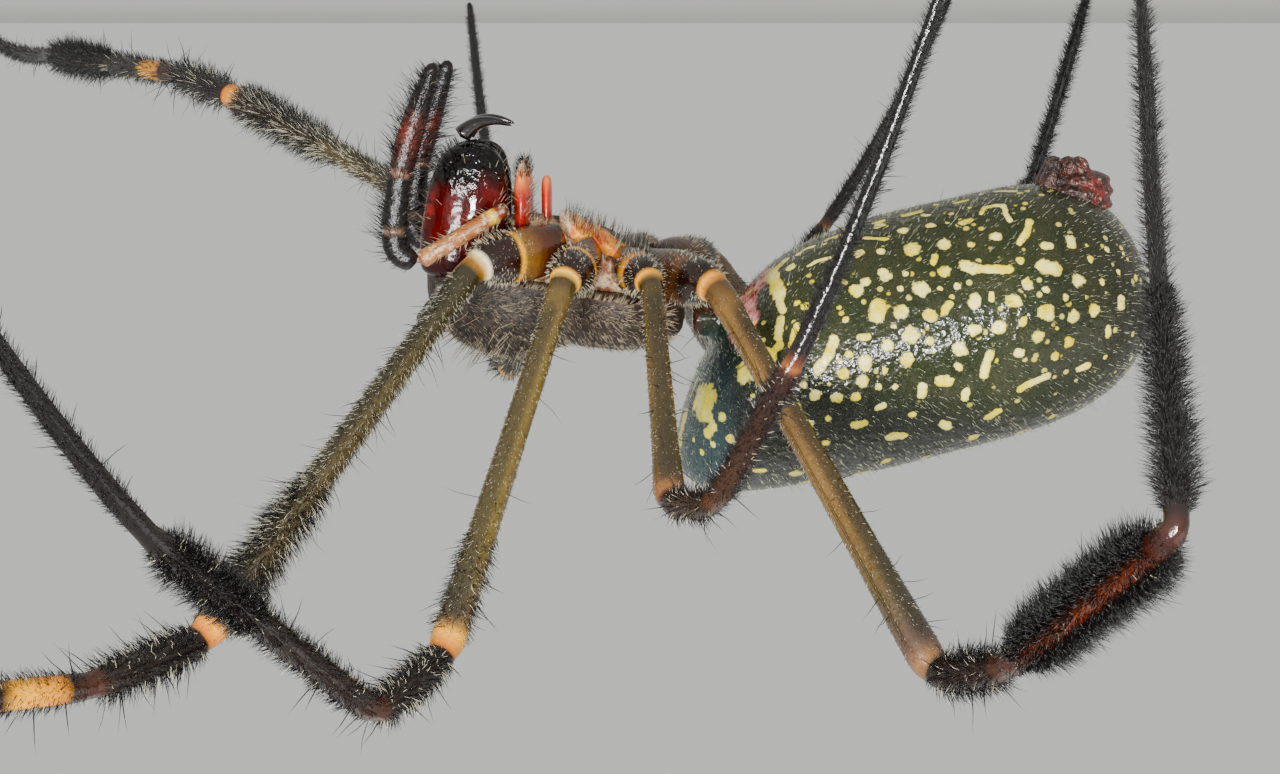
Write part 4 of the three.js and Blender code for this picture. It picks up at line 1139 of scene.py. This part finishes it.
def shapeTuft(place, low, high, turns, count, shortest, longest, radius, pull, pale):
    t, turn = between(low, high, count), between(*turns, count)
    roots = place(t, turn)
    outward = unit(np.cross(place(t + 0.002, turn) - roots, place(t, turn + 0.01) - roots))
    across = roots - place(t, turn + np.pi)
    outward = outward * np.sign(np.einsum("ij,ij->i", outward, across))[:, None]
    ways = outward + np.asarray(pull, float) + draw.normal(0, hairSpread, (count, 3))
    lengths, radii = hairSizes(shortest, longest, radius, count)
    return hairs(roots, ways, lengths, radii, pale, np.stack([t, (turn / tau) % 1], -1))


def palpTuft(rail, girth, *band):
    stage = np.linspace(0, 1, len(rail["line"]))
    return railTuft(dict(rail, stage=stage, wide=girth, tall=girth), *band)


def buildHeadCoat(finish):
    pi, around = np.pi, (0, tau)
    rearward, down, rim = (0, 0.9, 0.1), (0, 0, -0.5), (0, 0.6, -0.3)
    tufts = [
        shapeTuft(carapacePlace, 0.04, 0.96, (0.05, pi - 0.05), 5200, 0.12, 0.28, 0.008, rearward, 0.55),
        shapeTuft(carapacePlace, 0.05, 0.8, (-0.15, 0.3), 700, 0.25, 0.5, 0.01, rim, 0.8),
        shapeTuft(carapacePlace, 0.05, 0.8, (pi - 0.3, pi + 0.15), 700, 0.25, 0.5, 0.01, rim, 0.8),
        shapeTuft(carapacePlace, 0.6, 0.97, (0.3, pi - 0.3), 220, 0.6, 1.1, 0.014, (0, -0.5, 0.2), 0.3),
        shapeTuft(sternumPlace, 0.05, 0.95, (pi, tau), 420, 0.3, 0.7, 0.012, down, 0.35),
        shapeTuft(pleuraPlace, 0.05, 0.95, around, 2000, 0.15, 0.35, 0.009, down, 0.75),
    ]
    for mirror in (-1, 1):
        jaw, lobe = jawPlace(mirror), enditePlace(mirror)
        tufts += [
            shapeTuft(jaw, 0.1, 0.9, around, 260, 0.25, 0.6, 0.012, (0, -0.2, -0.6), 0.25),
            shapeTuft(jaw, 0.78, 0.97, (-0.4, pi + 0.4), 110, 0.3, 0.7, 0.014, (0, -0.3, -0.8), 0),
            shapeTuft(lobe, 0.86, 0.99, around, 130, 0.2, 0.42, 0.011, (0, -0.3, -1.2), 0.1),
            shapeTuft(lobe, 0.3, 0.8, around, 120, 0.25, 0.55, 0.011, (0, -0.2, -0.6), 0.3),
        ]
        upper, arm = palpRails(mirror)
        girth = through(palp["armRadii"], np.linspace(0, 1, 120)) * 0.97
        tufts += [
            palpTuft(arm, girth, 0.03, 0.97, 1500, 0.2, 0.42, 0.01, 0.7, 0.04),
            palpTuft(arm, girth, 0.05, 0.97, 420, 0.6, 1.05, 0.015, 0.5, 0),
            palpTuft(upper, np.full(40, palp["femurRadius"]), 0.1, 0.95, 160, 0.2, 0.5, 0.01, 0.7, 0.6),
        ]
    buildCoat("head_hair", tufts, finish)


def buildAbdomenCoat(skin, finish):
    count, corners = abdomen["hairs"], skin["points"][skin["faces"][0]]
    flat = np.cross(corners[:, 2] - corners[:, 0], corners[:, 3] - corners[:, 1])
    area = np.linalg.norm(flat, axis=1)
    chosen = draw.choice(len(area), count, p=area / area.sum())
    weight = draw.dirichlet((1, 1, 1, 1), count)
    roots = np.einsum("ij,ijk->ik", weight, corners[chosen])
    outward = unit(flat[chosen])
    if volumeOf(skin["points"], skin["faces"]) < 0:
        outward = -outward
    ways = outward + np.array((0, 0.7, 0)) + draw.normal(0, 0.15, (count, 3))
    around = np.arctan2(roots[:, 2] - 1.2, roots[:, 0]) / tau + 0.5
    unwrap = np.stack([(roots[:, 1] + 4) / 22, around], -1)
    long = draw.random(count) < 0.05
    lengths = np.where(long, between(0.35, 0.6, count), between(0.1, 0.22, count))
    tuft = hairs(roots, ways, lengths, between(0.006, 0.01, count), 0.7, unwrap)
    buildCoat("abdomen_hair", [tuft], finish)


makeCamera()
finishes = {
    "carapace": carapaceFinish(), "sternum": sternumFinish(), "membrane": membraneFinish(),
    "chelicera": cheliceraFinish(), "fang": fangFinish(), "endite": enditeFinish(), "eye": eyeFinish(),
    "palpRod": palpFinish("rod"), "palpArm": palpFinish("arm"),
}
buildLegs({pair: legFinish(pair) for pair in legPairs})
buildTrunk(finishes)
abdomenSkin = buildAbdomen(abdomenFinish())
buildSpinnerets(spinneretFinish())
buildMouth(finishes)
buildEyes(finishes)
buildPalps(finishes)
buildLegCoats(hairFinish("leg_hair", "#15100c", "#0c0a09", "#d8d2bc"))
buildHeadCoat(hairFinish("head_hair", "#1a120d", "#120c0a", "#b8ab90"))
buildAbdomenCoat(abdomenSkin, hairFinish("abdomen_hair", "#2a2a1c", "#1a1a12", "#b9bda2"))

floorMesh = bpy.data.meshes.new("floor")
floorMesh.from_pydata([(-1, -1, 0), (1, -1, 0), (1, 1, 0), (-1, 1, 0)], [], [(0, 1, 2, 3)])
floorMesh.materials.append(floorFinish())
floor = linked("floor", floorMesh)

# each soft lamp's place in mm from the waist as forward, left and up, its width in mm and its power
lamps = {
    "key": {"place": (60, -150, 14), "size": 44, "watts": 0.42},
    "glint": {"place": (-12, -130, -5), "size": 12, "watts": 0.16},
    "fill": {"place": (-90, -70, 60), "size": 90, "watts": 0.02},
    "top": {"place": (10, 20, 150), "size": 120, "watts": 0.03},
}


def makeLamps():
    for name, lamp in lamps.items():
        data = bpy.data.lights.new(f"lamp_{name}", "AREA")
        data.energy, data.size = lamp["watts"], lamp["size"] * mm
        light = linked(f"lamp_{name}", data)
        place = Vector(toScene(spot(*lamp["place"])))
        place.z = max(place.z, lamp["size"] * mm / 2 + 0.001)
        aim = (Vector(waist) - place).to_track_quat("-Z", "Y")
        light.matrix_world = Matrix.Translation(place) @ aim.to_matrix().to_4x4()
    print("lamps placed")


makeLamps()
world = bpy.data.worlds.new("studio")
bpy.context.scene.world = world
world.use_nodes = True
sky = world.node_tree.nodes["Background"]
sky.inputs["Color"].default_value = paint("#eeefec")
sky.inputs["Strength"].default_value = 0.8
